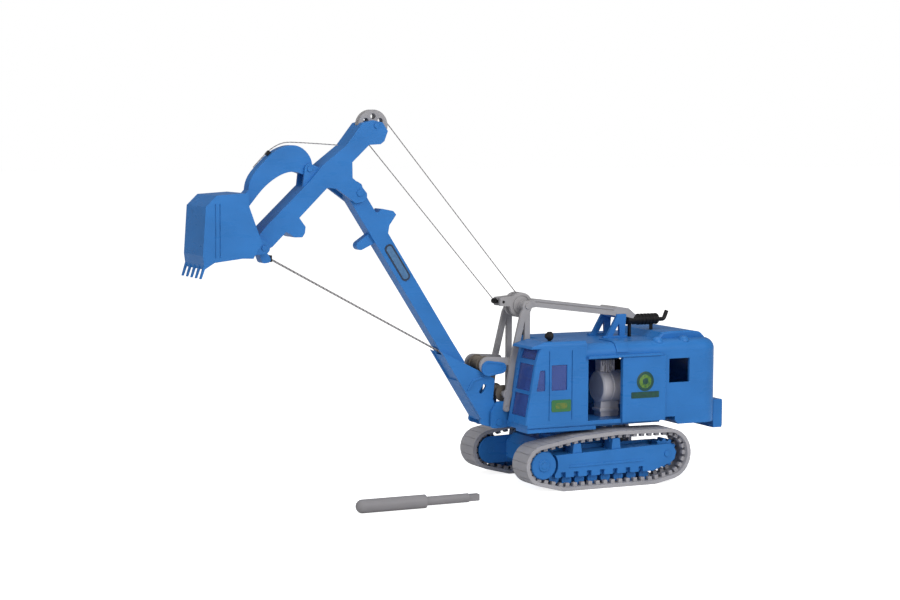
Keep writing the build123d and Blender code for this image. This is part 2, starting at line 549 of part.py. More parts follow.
lamp += Pos(17.5, 15.0, CAB_ROOF_Z - 0.7) * Cylinder(0.5, 1.6, align=(Align.CENTER, Align.CENTER, Align.MIN))
whistle = Pos(10.3, -14.2, ROOF_TOP) * Cylinder(0.75, 1.7, align=(Align.CENTER, Align.CENTER, Align.MIN))
whistle += Pos(10.3, -14.2, ROOF_TOP) * Cylinder(0.95, 0.5, align=(Align.CENTER, Align.CENTER, Align.MIN))
NODES["roof_fittings"] = Compound(children=[(lamp - cab_roof).solids()[0], whistle])

# ================================================================ mast
FRONT_LEG = ((21.6, 51.5), (25.0, 37.5), mast_foot)


def leg(p, q, width):
    """Straight round-ended strip in a side view."""
    return hull((p[0], p[1], width / 2), (q[0], q[1], width / 2))


mast_face = disc(MAST_X, MAST_Z, MAST_END_R)
mast_face += outline((MAST_X - MAST_LEG_W / 2, DECK_TOP), (MAST_X + MAST_LEG_W / 2, DECK_TOP),
                     (MAST_X + MAST_LEG_W / 2, MAST_Z), (MAST_X - MAST_LEG_W / 2, MAST_Z))
mast_face += leg(FRONT_LEG[0], FRONT_LEG[1], MAST_LEG_W)
mast_face += leg(FRONT_LEG[1], FRONT_LEG[2], MAST_LEG_W)
mast_face += leg((MAST_X, MAST_Z), FRONT_LEG[0], MAST_LEG_W)
mast_face += disc(HOIST_X, HOIST_Z, 1.5)
mast_face -= disc(MAST_X, MAST_Z, SHAFT_R)
mast_face -= disc(HOIST_X, HOIST_Z, SHAFT_R)
mast_face -= disc(*mast_foot, SHAFT_R)
mast = side(mast_face, MAST_INNER, MAST_INNER + MAST_PLATE)
NODES["mast_frame_left"] = mast
NODES["mast_frame_right"] = to_right(mast)

slot_half = SHEAVE_HALF + SIDE_GAP
head_face = disc(MAST_X, MAST_Z, MAST_HEAD_R) - disc(MAST_X, MAST_Z, SHAFT_R)
head_ring = disc(MAST_X, MAST_Z, MAST_HEAD_R - 0.9) - disc(MAST_X, MAST_Z, MAST_HEAD_R - 1.2)
mast_head = side(head_face, slot_half, slot_half + MAST_CHEEK_T)
mast_head += side(disc(MAST_X, MAST_Z, MAST_BOSS_R) - disc(MAST_X, MAST_Z, SHAFT_R),
                  slot_half + MAST_CHEEK_T, STAY_Y)
mast_head -= side(head_ring, slot_half + MAST_CHEEK_T - 0.2, slot_half + MAST_CHEEK_T)
nose = rounded(outline((MAST_X + 1.0, 53.6), (27.3, 54.0), (27.3, 56.5), (MAST_X + 1.0, 57.0)), 0.3)
nose -= disc(MAST_X, MAST_Z, SHEAVE_RIM_R + SIDE_GAP)
nose -= disc(26.2, 55.2, 0.45)
mast_head += side(nose - disc(MAST_X, MAST_Z, MAST_HEAD_R), slot_half, slot_half + 1.2)
mast_head = mast_head.solids().sort_by(SortBy.VOLUME)[-1]
mast_head = both(mast_head)
NODES["mast_head"] = mast_head
pins = bar_y(MAST_X, MAST_Z, SHAFT_R, -MAST_INNER - MAST_PLATE - 0.4, MAST_INNER + MAST_PLATE + 0.4)
foot_pin = bar_y(*mast_foot, SHAFT_R, LUG_INNER, MAST_INNER + MAST_PLATE + 0.3)

groove = ROPE_D / 2 + 0.06


def sheave(x, z, rope_r, rim_r, half, bore_r, spokes=0):
    """Grooved rope wheel; the cord lies on rope_r."""
    seat_r = rope_r - ROPE_D / 2
    wheel = turned([(0, 0), (rim_r, 0), (rim_r, half - groove - 0.12), (seat_r, half - groove + 0.05),
                    (seat_r, half + groove - 0.05), (rim_r, half + groove + 0.12), (rim_r, 2 * half),
                    (0, 2 * half)], x, z, -half)
    if spokes:
        mid = (seat_r + bore_r) / 2 + 0.2
        for i in range(spokes):
            a = 2 * pi * (i + 0.5) / spokes
            wheel -= bar_y(x + mid * cos(a), z + mid * sin(a), (seat_r - bore_r) / 2 - 0.75, -half - 1, half + 1)
    return wheel - bar_y(x, z, bore_r, -half - 1, half + 1)


NODES["mast_sheave"] = sheave(MAST_X, MAST_Z, SHEAVE_ROPE_R, SHEAVE_RIM_R, SHEAVE_HALF, SHAFT_R + PIN_GAP)


def drum(x, z, rope_r, half, lays):
    """Rope drum: two rims and the close turns of cord between them."""
    rim = rope_r + DRUM_RIM
    bare = rope_r - ROPE_D
    pitch = 2 * (half - DRUM_RIM_T) / lays
    profile = [(0, 0), (rim, 0), (rim, DRUM_RIM_T), (bare, DRUM_RIM_T)]
    for i in range(lays):
        y = DRUM_RIM_T + i * pitch
        profile += [(rope_r - 0.12, y + 0.15 * pitch), (rope_r, y + 0.5 * pitch), (rope_r - 0.12, y + 0.85 * pitch),
                    (rope_r - ROPE_D, y + pitch)]
    profile += [(rim, 2 * half - DRUM_RIM_T), (rim, 2 * half), (0, 2 * half)]
    return turned(profile, x, z, -half) - bar_y(x, z, SHAFT_R + PIN_GAP, -half - 1, half + 1)


NODES["hoist_drum"] = drum(HOIST_X, HOIST_Z, HOIST_R, HOIST_HALF, ROPE_TURNS)
NODES["drag_drum"] = drum(DRAG_X, DRAG_Z, DRAG_R, DRAG_HALF, ROPE_TURNS)
hoist_shaft = bar_y(HOIST_X, HOIST_Z, SHAFT_R, -MAST_INNER - MAST_PLATE, MAST_INNER + MAST_PLATE)
arm_face = hull((DRAG_X, DRAG_Z, DRUM_ARM_R), (28.4, 37.6, 1.3))
arm_face += hull((28.4, 37.6, 1.3), (24.4, 37.6, 1.0))
arm_face -= disc(DRAG_X, DRAG_Z, SHAFT_R)
arm = side(arm_face, LUG_INNER, MAST_INNER)
NODES["drum_arms"] = both(arm)
cover_face = hull((DRAG_X, DRAG_Z - 0.8, COVER_R), (28.8, DRAG_Z - 0.8, COVER_R - 0.6))
cover = side(cover_face, MAST_INNER, MAST_INNER + COVER_T)
NODES["drum_cover"] = cover - side(offset(cover_face, -0.6), MAST_INNER + COVER_T - 0.2, MAST_INNER + COVER_T)
drag_shaft = bar_y(DRAG_X, DRAG_Z, SHAFT_R, -MAST_INNER, MAST_INNER)
NODES["mast_pins"] = Compound(children=[pins, foot_pin, to_right(foot_pin), hoist_shaft, drag_shaft])

eye = Pos(26.2, 0, 55.2) * Rot(90, 0, 0) * Cylinder(0.45, 2 * (slot_half + 1.2))
shank = side(leg((26.2, 55.2), (28.0, 55.4), 0.9), -0.45, 0.45)
eye += shank + side(disc(28.3, 55.5, 0.85) - disc(28.3, 55.5, 0.35), -0.45, 0.45)
NODES["rope_eye"] = eye

# ================================================================ gantry, stays and exhaust on the roof
gantry_face = leg((-8.6, ROOF_TOP - 0.5), (-12.4, 49.2), 1.7)
gantry_face += outline((-14.4, ROOF_TOP - 1), (-12.9, ROOF_TOP - 1), (-12.6, 47.0), (-11.6, 49.0), (-11.6, 50.4),
                       (-15.0, 50.4), (-14.9, 48.6))
gantry_face += outline((-7.0, ROOF_TOP - 1), (-7.0, ROOF_TOP + 0.6), (-15.4, ROOF_TOP + 0.6), (-15.4, ROOF_TOP - 1))
gantry = side(gantry_face, GANTRY_Y, GANTRY_Y + GANTRY_T)
gantry += to_right(gantry)
gantry += block(-14.8, -12.2, -GANTRY_Y, GANTRY_Y, 49.2, 50.4)
NODES["gantry"] = gantry - roof

yoke_face = outline((-10.8, 50.0), (-14.8, 49.6), (-17.8, 48.9), (-18.6, 50.1), (-16.1, 52.1), (-11.8, 52.7),
                    (-10.6, 51.9))
yoke = side(yoke_face, -STAY_Y - STAY_T, STAY_Y + STAY_T) - gantry
NODES["stay_yoke"] = yoke.solids().sort_by(SortBy.VOLUME)[-1]
stay_bend, stay_end = (16.5, 54.7), (-10.9, 51.2)
stay_face = leg((MAST_X, MAST_Z), stay_bend, STAY_H) + leg(stay_bend, stay_end, STAY_H)
stay_face -= disc(MAST_X, MAST_Z, SHAFT_R)
stay = side(stay_face, STAY_Y, STAY_Y + STAY_T)
stay -= side(Pos(0, STAY_H / 2 - 0.75) * leg(stay_bend, stay_end, STAY_GROOVE), STAY_Y + STAY_T - 0.25, STAY_Y + STAY_T)
stay -= NODES["stay_yoke"]
NODES["gantry_stays"] = both(stay.solids().sort_by(SortBy.VOLUME)[-1])

muffler = bar_x(PIPE_REAR, PIPE_FRONT, PIPE_Y, PIPE_Z, PIPE_R)
for i in range(PIPE_RIBS):
    rib_x = PIPE_REAR + 0.3 + i * PIPE_RIB_PITCH
    muffler += bar_x(rib_x, rib_x + 0.55, PIPE_Y, PIPE_Z, PIPE_R + 0.2)
for x in (-17.4, -25.2):
    muffler += block(x - 0.35, x + 0.35, PIPE_Y - 0.5, PIPE_Y + 0.5, ROOF_TOP - 2, PIPE_Z)
muffler = muffler - roof - hood - gantry - NODES["stay_yoke"]
tail_z = PIPE_Z - 0.2
tail_path = FilletPolyline((PIPE_REAR, PIPE_Y, tail_z), (PIPE_REAR - 2.5, PIPE_Y, tail_z),
                           (PIPE_REAR - 3.6, PIPE_Y, tail_z + 2.6), radius=1.0)
tail = sweep(Plane(origin=(PIPE_REAR, PIPE_Y, tail_z), z_dir=(-1, 0, 0)) * Circle(0.65), path=tail_path)
NODES["muffler"] = muffler + tail

# ================================================================ boom
boom_face = outline((34.0, 20.4), (48.5, 43.0), (78.4, 89.0), (76.5, 93.0), (73.0, 91.0), (71.9, 88.1), (43.8, 44.5), (30.9, 25.2))
run = Vector(HEAD_X - FOOT_X, HEAD_Z - FOOT_Z).normalized()
square = Vector(-run.Y, run.X)
head = Vector(HEAD_X, HEAD_Z)


def near_head(a, b):
    """Point of the side view, a along the boom and b square to it from the head pin."""
    p = head + run * a + square * b
    return (p.X, p.Y)


below_head = outline(near_head(0, -8), near_head(0, 8), near_head(-90, 8), near_head(-90, -8))
boom_cut = outline((39.2, 37.7), (41.9, 32.4), (60, 10), (120, 80), (90, 120), (40, 60), (36.0, 40.0))
box_face = boom_face & boom_cut & (below_head + disc(HEAD_X, HEAD_Z, BOOM_END_R))
rear_lug = rounded(outline((70.6, 82.4), (67.5, 82.8), (66.6, 83.8), (62.9, 83.1), (61.9, 82.0), (64.1, 78.9),
                           (64.6, 76.0), (67.0, 76.0)), 0.25)
front_lug = hull((72.8, 73.1, 1.3), (68.5, 75.6, 1.7))
boom = side(box_face, -BOOM_HALF, BOOM_HALF) + side(rear_lug, -BOOM_HALF, BOOM_HALF)
boom += side(front_lug, -FRONT_LUG_HALF, FRONT_LUG_HALF)

EYE = (EYE_X - 1.5, EYE_Z - 0.4)
ENTRY = (48.5, 41.9)
drum_drop = DRAG_R + 0.09 + ROPE_D / 2


def tangent(centre, radius, point, side_sign):
    """Where a line from a point touches a circle; side_sign picks the side."""
    dx, dz = centre[0] - point[0], centre[1] - point[1]
    far = hypot(dx, dz)
    turn = atan2(dz, dx) + side_sign * atan2(radius, (far ** 2 - radius ** 2) ** 0.5)
    reach = (far ** 2 - radius ** 2) ** 0.5
    return (point[0] + reach * cos(turn), point[1] + reach * sin(turn))


drag_end = tangent((DRAG_X, DRAG_Z), drum_drop, ENTRY, 1)
slot_in = leg((EYE[0], EYE[1]), ENTRY, 1.5) + leg(ENTRY, drag_end, 1.5)
DRAG_Y = 1.2
rope_slot = side(slot_in & outline((36, 30), (56, 30), (56, 60), (36, 60)), -DRAG_Y - 0.5, DRAG_Y + 0.5)
boom -= rope_slot
boom -= bar_y(HEAD_X, HEAD_Z, BOOM_PIN_R + PIN_GAP, -10, 10)
NODES["boom"] = boom

cheek_out = CHEEK_INNER + CHEEK_T
cheek_face = hull((FOOT_X, FOOT_Z, 1.9), (31.6, 26.0, 1.0), (33.6, 19.8, 1.2)) + outline(
    (47.8, 41.28), (40.0, 37.4), (30.4, 32.6), (30.0, 32.0), (30.6, 25.7), (34.2, 20.0))
cheek_face = cheek_face - hull((34.6, 28.7, 0.6), (33.5, 30.3, 0.6)) - disc(FOOT_X, FOOT_Z, BOOM_PIN_R + PIN_GAP)
foot = side(cheek_face, CHEEK_INNER, cheek_out)
foot += side(cheek_face & box_face, BOOM_HALF, CHEEK_INNER)
step = hull((39.0, 29.6, 0.3), (37.2, 32.2, 0.3)) + hull((37.2, 32.2, 0.3), (34.6, 33.0, 0.3))
foot += side(step & cheek_face, cheek_out, cheek_out + 0.3)
foot += to_right(foot)
web = outline((34.3, 20.0), (48.9, 43.0), (47.6, 43.0), (33.0, 20.6)) - boom_cut
foot += side(web, -CHEEK_INNER, CHEEK_INNER)
NODES["boom_foot"] = foot

NODES["boom_pin"] = bar_y(FOOT_X, FOOT_Z, BOOM_PIN_R, -LUG_INNER - LUG_PLATE - 0.3, LUG_INNER + LUG_PLATE + 0.3)

# ================================================================ dipper stick
def stick_strip():
    """Side view of the stick's long bar."""
    return outline((66.4, 103.4), (67.6, 102.5), (71.2, 102.3), (76.3, 97.5), (84.3, 90.0), (101.2, 73.4), (104.9, 72.0),
                   (106.0, 75.8), (102.9, 79.4), (89.7, 91.9), (85.6, 96.6), (78.4, 102.1), (75.1, 106.3), (73.3, 108.6),
                   (70.0, 109.4), (67.0, 108.8), (65.3, 106.3))


ear_in = BOOM_HALF + SIDE_GAP
bar = side(stick_strip(), -STICK_HALF, STICK_HALF)
ear_face = outline((76.5, 97.6), (76.4, 92.8), (73.9, 90.8), (71.9, 88.4), (71.8, 87.3), (73.0, 85.9), (75.4, 85.5),
                   (81.3, 89.7), (84.3, 90.1), (86.0, 92.0))
ear_face = fillet(ear_face.vertices().sort_by(Axis.Y)[:3], 0.7)
ear = side(ear_face, ear_in, STICK_HALF)
bar += ear + to_right(ear)
toe_lug = rounded(outline((99.5, 78.5), (97.8, 78.0), (96.5, 77.4), (94.3, 76.0), (92.0, 76.0), (91.2, 77.2),
                          (91.0, 79.0), (93.1, 81.8), (95.0, 82.0)), 0.35)
bar += side(toe_lug, -STICK_HALF, STICK_HALF)
hook = hull((EYE_X, EYE_Z - 0.4, 1.0), (EYE_X + 0.9, EYE_Z - 0.6, 0.9), (TOE_X, TOE_Z - 0.4, 0.9))
bar += side(hook, -HOOK_HALF, HOOK_HALF)
sheave_slot = hull((TOP_X, TOP_Z, TOP_RIM_R + LIFT_GAP), (66.0, 99.0, 1.0), (72.4, 101.0, 1.0))
bar -= side(sheave_slot, -TOP_SLOT_HALF, TOP_SLOT_HALF)
bar -= bar_y(TOP_X, TOP_Z, SHAFT_R, -10, 10)
bar -= bar_y(HEAD_X, HEAD_Z, BOOM_PIN_R, -10, 10)
brace_ears = hull((BRACE_X, BRACE_Z, 1.5), (85.6, 94.6, 0.8), (90.6, 90.0, 0.8))
lobe = side(brace_ears, BRACE_HALF + 0.02, BRACE_HALF + 0.9)
lobe += to_right(lobe)
bar += lobe
bar -= bar_y(BRACE_X, BRACE_Z, SHAFT_R, -10, 10)
bar -= bar_y(BRACE_X, BRACE_Z, 2.0, -BRACE_HALF - 0.02, BRACE_HALF + 0.02)
bar -= bar_y(TOE_X, TOE_Z, SHAFT_R, -10, 10)
NODES["stick"] = bar

NODES["stick_sheave"] = sheave(TOP_X, TOP_Z, TOP_ROPE_R, TOP_RIM_R, TOP_SLOT_HALF - SIDE_GAP, SHAFT_R + PIN_GAP, spokes=6)
NODES["stick_pins"] = Compound(children=[
    bar_y(TOP_X, TOP_Z, SHAFT_R, -STICK_HALF - 0.3, STICK_HALF + 0.3),
    bar_y(HEAD_X, HEAD_Z, BOOM_PIN_R, -STICK_HALF - 0.3, STICK_HALF + 0.3),
    bar_y(BRACE_X, BRACE_Z, SHAFT_R, -BRACE_HALF - 1.2, BRACE_HALF + 1.2),
    bar_y(TOE_X, TOE_Z, SHAFT_R, -STICK_HALF - 1.4, STICK_HALF + 1.4),
])

# ================================================================ shovel and its brace
bucket_face = outline((122.5, 85.2), (119.3, 88.3), (109.8, 88.9), (109.7, 85.1), (107.6, 79.4), (105.9, 74.9),
                      (108.5, 70.5), (111.7, 70.6), (120.0, 69.6), (122.9, 67.8), (123.4, 71.6))
bucket_face = fillet(bucket_face.vertices().sort_by(Axis.Y)[-2:], 0.6)
hollow = outline((121.7, 84.9), (119.0, 87.4), (110.7, 88.0), (110.6, 85.0), (108.5, 79.2), (106.9, 75.2), (108.6, 72.4),
                 (109.2, 60.0), (122.0, 60.0), (122.2, 67.0), (122.5, 71.6))
bucket = side(bucket_face, -BUCKET_HALF, BUCKET_HALF)
bucket -= side(hollow, -BUCKET_HALF + BUCKET_WALL, BUCKET_HALF - BUCKET_WALL)
pitch = (2 * BUCKET_HALF - TOOTH_W) / (TOOTH_COUNT - 1)
tooth_face = outline((122.2, 69.6), (122.9, 69.6), (124.2, 65.2), (123.8, 65.2))
for i in range(TOOTH_COUNT):
    y = -BUCKET_HALF + i * pitch
    bucket += side(tooth_face, y, y + TOOTH_W)
hinge_ear = hull((TOE_X, TOE_Z, 1.7), (107.2, 76.6, 1.2), (107.6, 72.4, 1.2))
lug = side(hinge_ear, STICK_HALF + 0.02, STICK_HALF + 1.1)
bucket += lug + to_right(lug)
bucket -= side(hollow, -BUCKET_HALF + BUCKET_WALL, BUCKET_HALF - BUCKET_WALL)
bucket -= bar_y(TOE_X, TOE_Z, SHAFT_R, -10, 10)
for x in BUCKET_GROOVES:
    line = block(x - BUCKET_GROOVE_W / 2, x + BUCKET_GROOVE_W / 2, BUCKET_HALF - BUCKET_GROOVE_D, BUCKET_HALF + 1, 71.0, 86.0)
    bucket -= line + to_right(line)
bucket -= bar
NODES["bucket"] = bucket.solids().sort_by(SortBy.VOLUME)[-1]

brace_outer = Spline((107.6, 89.6), (105.8, 94.4), (103.3, 97.1), (100.6, 99.7), (96.6, 101.8), (93.2, 102.1), (90.3, 100.6), (88.2, 96.6))
brace_inner = Spline((91.2, 93.9), (94.8, 94.6), (99.7, 92.7), (102.7, 90.4), (105.1, 87.8), (108.6, 83.6))
brace_face = make_face([brace_outer, Line((88.2, 96.6), (88.2, 94.2)), Line((88.2, 94.2), (91.2, 93.9)), brace_inner,
                        Line((108.6, 83.6), (111.0, 86.0)), Line((111.0, 86.0), (107.6, 89.6))])
brace = side(brace_face, -BRACE_HALF, BRACE_HALF)
brace -= bar_y(BRACE_X, BRACE_Z, SHAFT_R, -10, 10)
brace = brace - bar - side(bucket_face, -BUCKET_HALF, BUCKET_HALF)
NODES["brace"] = brace.solids().sort_by(SortBy.VOLUME)[-1]

drag_clip = block(EYE_X - 1.5, EYE_X - 0.2, -1.6, 1.6, EYE_Z - 1.2, EYE_Z + 0.7) - NODES["stick"]
brace_clip = side(Pos(101.0, 99.9) * Rot(0, 0, -44) * Rectangle(1.3, 1.0), -0.6, 0.6) - NODES["brace"]

# ================================================================ winding key
grip = Pos(KEY_GRIP[0], KEY_Y, KEY_R) * Rot(0, 90, 0) * Cylinder(KEY_R, KEY_GRIP[1] - KEY_GRIP[0] - KEY_R, align=(Align.CENTER, Align.CENTER, Align.MIN))
grip += Pos(KEY_GRIP[1] - KEY_R, KEY_Y, KEY_R) * Sphere(KEY_R)
grip += Pos(KEY_SQUARE, KEY_Y, KEY_R) * Rot(0, 90, 0) * Cylinder(KEY_STEM_R, KEY_GRIP[0] - KEY_SQUARE, align=(Align.CENTER, Align.CENTER, Align.MIN))
grip += block(KEY_TIP, KEY_SQUARE, KEY_Y - 0.95, KEY_Y + 0.95, KEY_R - 0.95, KEY_R + 0.95)
NODES["winding_key"] = grip

# ================================================================ cords
def cord(y, points, radii):
    """Round cord through side-view points, in one plane across the machine."""
    line = [(x, y, z) for x, z in points]
    way = FilletPolyline(*line, radius=radii) if len(line) > 2 else Line(*line)
    start = Plane(origin=line[0], z_dir=Vector(*line[1]) - Vector(*line[0]))
    print("cord at y %.1f: length %.1f, radii %s" % (y, way.length, radii))
    return sweep(start * Circle(ROPE_D / 2), path=way)


rope_gap = 0.05
top_r = TOP_ROPE_R + rope_gap
mast_r = SHEAVE_ROPE_R + rope_gap


def corner(centre, radius, a, b):
    """Point where the tangents along directions a and b meet outside a wheel."""
    bis = (a + b).normalized()
    half = a.dot(bis)
    return (centre[0] + bis.X * radius / half, centre[1] + bis.Y * radius / half)


# the strand from the mast sheave to the stick sheave touches both on their upper left
dx, dz = TOP_X - MAST_X, TOP_Z - MAST_Z
far = hypot(dx, dz)
aim = atan2(dz, dx) + atan2(top_r - mast_r, (far ** 2 - (top_r - mast_r) ** 2) ** 0.5)
up = Vector(-sin(aim), cos(aim))
eye_point = (28.3 + 0.9 * 0.612, 55.5 + 0.9 * 0.791)
leave = tangent((TOP_X, TOP_Z), top_r, eye_point, -1)
leave_dir = Vector(leave[0] - TOP_X, leave[1] - TOP_Z).normalized()
drum_r = HOIST_R + rope_gap + ROPE_D / 2
dx, dz = HOIST_X - MAST_X, HOIST_Z - MAST_Z
far = hypot(dx, dz)
drop = atan2(dz, dx) - atan2(drum_r - mast_r, (far ** 2 - (drum_r - mast_r) ** 2) ** 0.5)
left = Vector(sin(drop), -cos(drop))
drum_touch = (HOIST_X + left.X * drum_r, HOIST_Z + left.Y * drum_r)
top_mid = Vector(up.Y - leave_dir.Y, leave_dir.X - up.X).normalized()
wheel_a = corner((TOP_X, TOP_Z), top_r, up, top_mid)
wheel_b = corner((TOP_X, TOP_Z), top_r, top_mid, leave_dir)
mast_corner = corner((MAST_X, MAST_Z), mast_r, up, left)
NODES["hoist_rope"] = cord(0, [drum_touch, mast_corner, wheel_a, wheel_b, eye_point],
                           [mast_r * 0.999, top_r * 0.999, top_r * 0.999])
drag = cord(DRAG_Y, [EYE, ENTRY, drag_end], [20.0])
NODES["drag_rope"] = both(drag)
BRACE_ROPE = [(105.5, 95.9), (102.9, 98.6), (100.4, 101.0), (96.9, 102.9), (92.8, 103.1), (79.4, 102.2)]
brace_rope = cord(0, BRACE_ROPE, [3.5, 3.5, 3.5, 3.5]) - bar
NODES["brace_rope"] = brace_rope.solids().sort_by(SortBy.VOLUME)[-1]
NODES["rope_clips"] = Compound(children=[(drag_clip - NODES["drag_rope"]).solids().sort_by(SortBy.VOLUME)[-1],
                                         (brace_clip - NODES["brace_rope"]).solids().sort_by(SortBy.VOLUME)[-1]])

for name, shape in NODES.items():
    export_step(shape, "parts/%s.step" % name)
print(len(NODES), "nodes")
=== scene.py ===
"""Roped face-shovel excavator kit: finishes, cords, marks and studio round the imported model.

Lengths in the classes are in millimetres; MM turns them into Blender's metres.
"""

import logging
import math
from dataclasses import dataclass, field
from enum import Enum

import bmesh
import bpy
import numpy as np
from mathutils import Matrix, Vector


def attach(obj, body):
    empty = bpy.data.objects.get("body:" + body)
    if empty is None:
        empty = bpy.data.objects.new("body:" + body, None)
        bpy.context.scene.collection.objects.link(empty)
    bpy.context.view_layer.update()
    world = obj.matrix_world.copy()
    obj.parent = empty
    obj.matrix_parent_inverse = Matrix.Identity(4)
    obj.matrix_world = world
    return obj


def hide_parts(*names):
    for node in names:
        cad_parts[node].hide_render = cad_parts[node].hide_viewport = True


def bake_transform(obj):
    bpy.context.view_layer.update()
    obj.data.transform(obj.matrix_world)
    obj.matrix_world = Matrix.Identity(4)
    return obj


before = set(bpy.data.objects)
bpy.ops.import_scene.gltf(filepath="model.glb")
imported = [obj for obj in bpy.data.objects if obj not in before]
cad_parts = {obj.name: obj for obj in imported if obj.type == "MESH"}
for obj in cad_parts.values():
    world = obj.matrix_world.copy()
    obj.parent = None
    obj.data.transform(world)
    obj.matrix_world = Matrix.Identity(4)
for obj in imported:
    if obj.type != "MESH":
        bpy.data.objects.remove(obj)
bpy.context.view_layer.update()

log = logging.getLogger("excavator")
MM = 0.001
NOISE_SPAN = (0.3, 0.7)  # most values of a noise pattern lie between these
DUST_COLOUR = (0.42, 0.4, 0.38)
Point = tuple[float, float, float]
Colour = tuple[float, float, float]


class Body(str, Enum):
    """Moving bodies of the model."""

    HOUSE = "house"
    DOOR = "side_door"
    BOOM = "boom"
    STICK = "stick"


class Slot(str, Enum):
    """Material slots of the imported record."""

    BLUE = "blue_plastic"
    ENGINE = "engine_grey"
    CORD = "cord"


def srgb(red: int, green: int, blue: int) -> Colour:
    """Linear colour of an 8-bit display colour.

    Args:
        red: red part, 0 to 255.
        green: green part, 0 to 255.
        blue: blue part, 0 to 255.

    Returns:
        The linear colour.
    """
    def linear(value: int) -> float:
        """Linear share of one part.

        Args:
            value: the part, 0 to 255.

        Returns:
            Its share of full light.
        """
        share = value / 255
        return share / 12.92 if share <= 0.04045 else ((share + 0.055) / 1.055) ** 2.4
    return (linear(red), linear(green), linear(blue))


def shade(colour: Colour, factor: float) -> Colour:
    """The colour made lighter or darker.

    Args:
        colour: linear colour.
        factor: how many times as bright it becomes.

    Returns:
        The changed colour, at most full light.
    """
    return tuple(min(1.0, c * factor) for c in colour)


# ------------------------------------------------------------------ finishes
class NodeBench:
    """Lays out one material's node tree.

    Args:
        name: name of the material.
    """

    EDGE_SAMPLES = 6
    EDGE_COSINES = (0.86, 0.995)     # rounded against true normal: full edge, no edge

    def __init__(self, name: str) -> None:
        """Starts an empty tree with its output.

        Args:
            name: name of the material.
        """
        self.material = bpy.data.materials.new(name)
        self.material.use_nodes = True
        self.tree = self.material.node_tree
        self.tree.nodes.clear()
        self.output = self.add("ShaderNodeOutputMaterial")
        self.place = self.add("ShaderNodeTexCoord").outputs["Object"]

    def add(self, kind: str, **settings: object) -> bpy.types.Node:
        """Adds a node and sets its properties or input values.

        Args:
            kind: Blender's node type.
            settings: properties by name, or inputs by their name with spaces as underscores.

        Returns:
            The new node.
        """
        node = self.tree.nodes.new(kind)
        for key, value in settings.items():
            label = key.replace("_", " ")
            named = (s for s in node.inputs if s.name.lower() == label.lower() and s.enabled)
            socket = next(named, None)
            if hasattr(node, key) and socket is None:
                setattr(node, key, value)
            elif isinstance(value, bpy.types.NodeSocket):
                self.tree.links.new(value, socket)
            else:
                socket.default_value = value
        return node

    def join(self, source: bpy.types.NodeSocket, target: bpy.types.NodeSocket) -> None:
        """Links two sockets.

        Args:
            source: an output.
            target: an input.
        """
        self.tree.links.new(source, target)

    def noise(self, period_mm: float, detail: float = 3.0,
              stretch: Point = (1.0, 1.0, 1.0)) -> bpy.types.NodeSocket:
        """Cloudy pattern in object space.

        Args:
            period_mm: rough size of one cloud.
            detail: octaves of finer detail.
            stretch: scale along each axis, to draw the clouds out.

        Returns:
            The pattern's value socket.
        """
        moved = self.add("ShaderNodeMapping", Vector=self.place, Scale=stretch)
        pattern = self.add("ShaderNodeTexNoise", Vector=moved.outputs[0],
                           Scale=1 / (period_mm * MM), Detail=detail)
        return pattern.outputs["Fac"]

    def remap(self, value: bpy.types.NodeSocket, low: float, high: float, to_low: float,
              to_high: float) -> bpy.types.NodeSocket:
        """Carries a value from one range into another, clamped.

        Args:
            value: socket to read.
            low: start of its range.
            high: end of its range.
            to_low: result at the start.
            to_high: result at the end.

        Returns:
            The result's socket.
        """
        node = self.add("ShaderNodeMapRange", Value=value, From_Min=low, From_Max=high,
                        To_Min=to_low, To_Max=to_high)
        return node.outputs["Result"]

    def times(self, a: bpy.types.NodeSocket, b: bpy.types.NodeSocket) -> bpy.types.NodeSocket:
        """Product of two values.

        Args:
            a: first value.
            b: second value.

        Returns:
            The product's socket.
        """
        node = self.add("ShaderNodeMath", operation="MULTIPLY")
        self.join(a, node.inputs[0])
        self.join(b, node.inputs[1])
        return node.outputs[0]

    def blend(self, amount: bpy.types.NodeSocket, first: object,
              second: object) -> bpy.types.NodeSocket:
        """Mixes two colours.

        Args:
            amount: share of the second colour.
            first: colour or socket at amount 0.
            second: colour or socket at amount 1.

        Returns:
            The mixed colour.
        """
        node = self.add("ShaderNodeMix", data_type="RGBA")
        self.join(amount, node.inputs["Factor"])
        for socket, value in ((node.inputs[6], first), (node.inputs[7], second)):
            if isinstance(value, bpy.types.NodeSocket):
                self.join(value, socket)
            else:
                socket.default_value = (*value, 1.0)
        return node.outputs[2]

    def soft_edges(self, radius_mm: float) -> tuple[bpy.types.NodeSocket, bpy.types.NodeSocket]:
        """Rounded normals for moulded edges, and a mask of those edges.

        Args:
            radius_mm: radius that the edges seem to have.

        Returns:
            The normal, and a mask that is 1 on an edge.
        """
        bevel = self.add("ShaderNodeBevel", samples=self.EDGE_SAMPLES, Radius=radius_mm * MM)
        rounded = bevel.outputs[0]
        true_normal = self.add("ShaderNodeNewGeometry").outputs["Normal"]
        dot = self.add("ShaderNodeVectorMath", operation="DOT_PRODUCT")
        self.join(rounded, dot.inputs[0])
        self.join(true_normal, dot.inputs[1])
        return rounded, self.remap(dot.outputs["Value"], *self.EDGE_COSINES, 1.0, 0.0)

    def shader(self, **settings: object) -> bpy.types.Node:
        """Adds the Principled shader and sends it to the output.

        Args:
            settings: its inputs, by their name with spaces as underscores.

        Returns:
            The shader's node.
        """
        node = self.add("ShaderNodeBsdfPrincipled", **settings)
        self.join(node.outputs[0], self.output.inputs["Surface"])
        return node


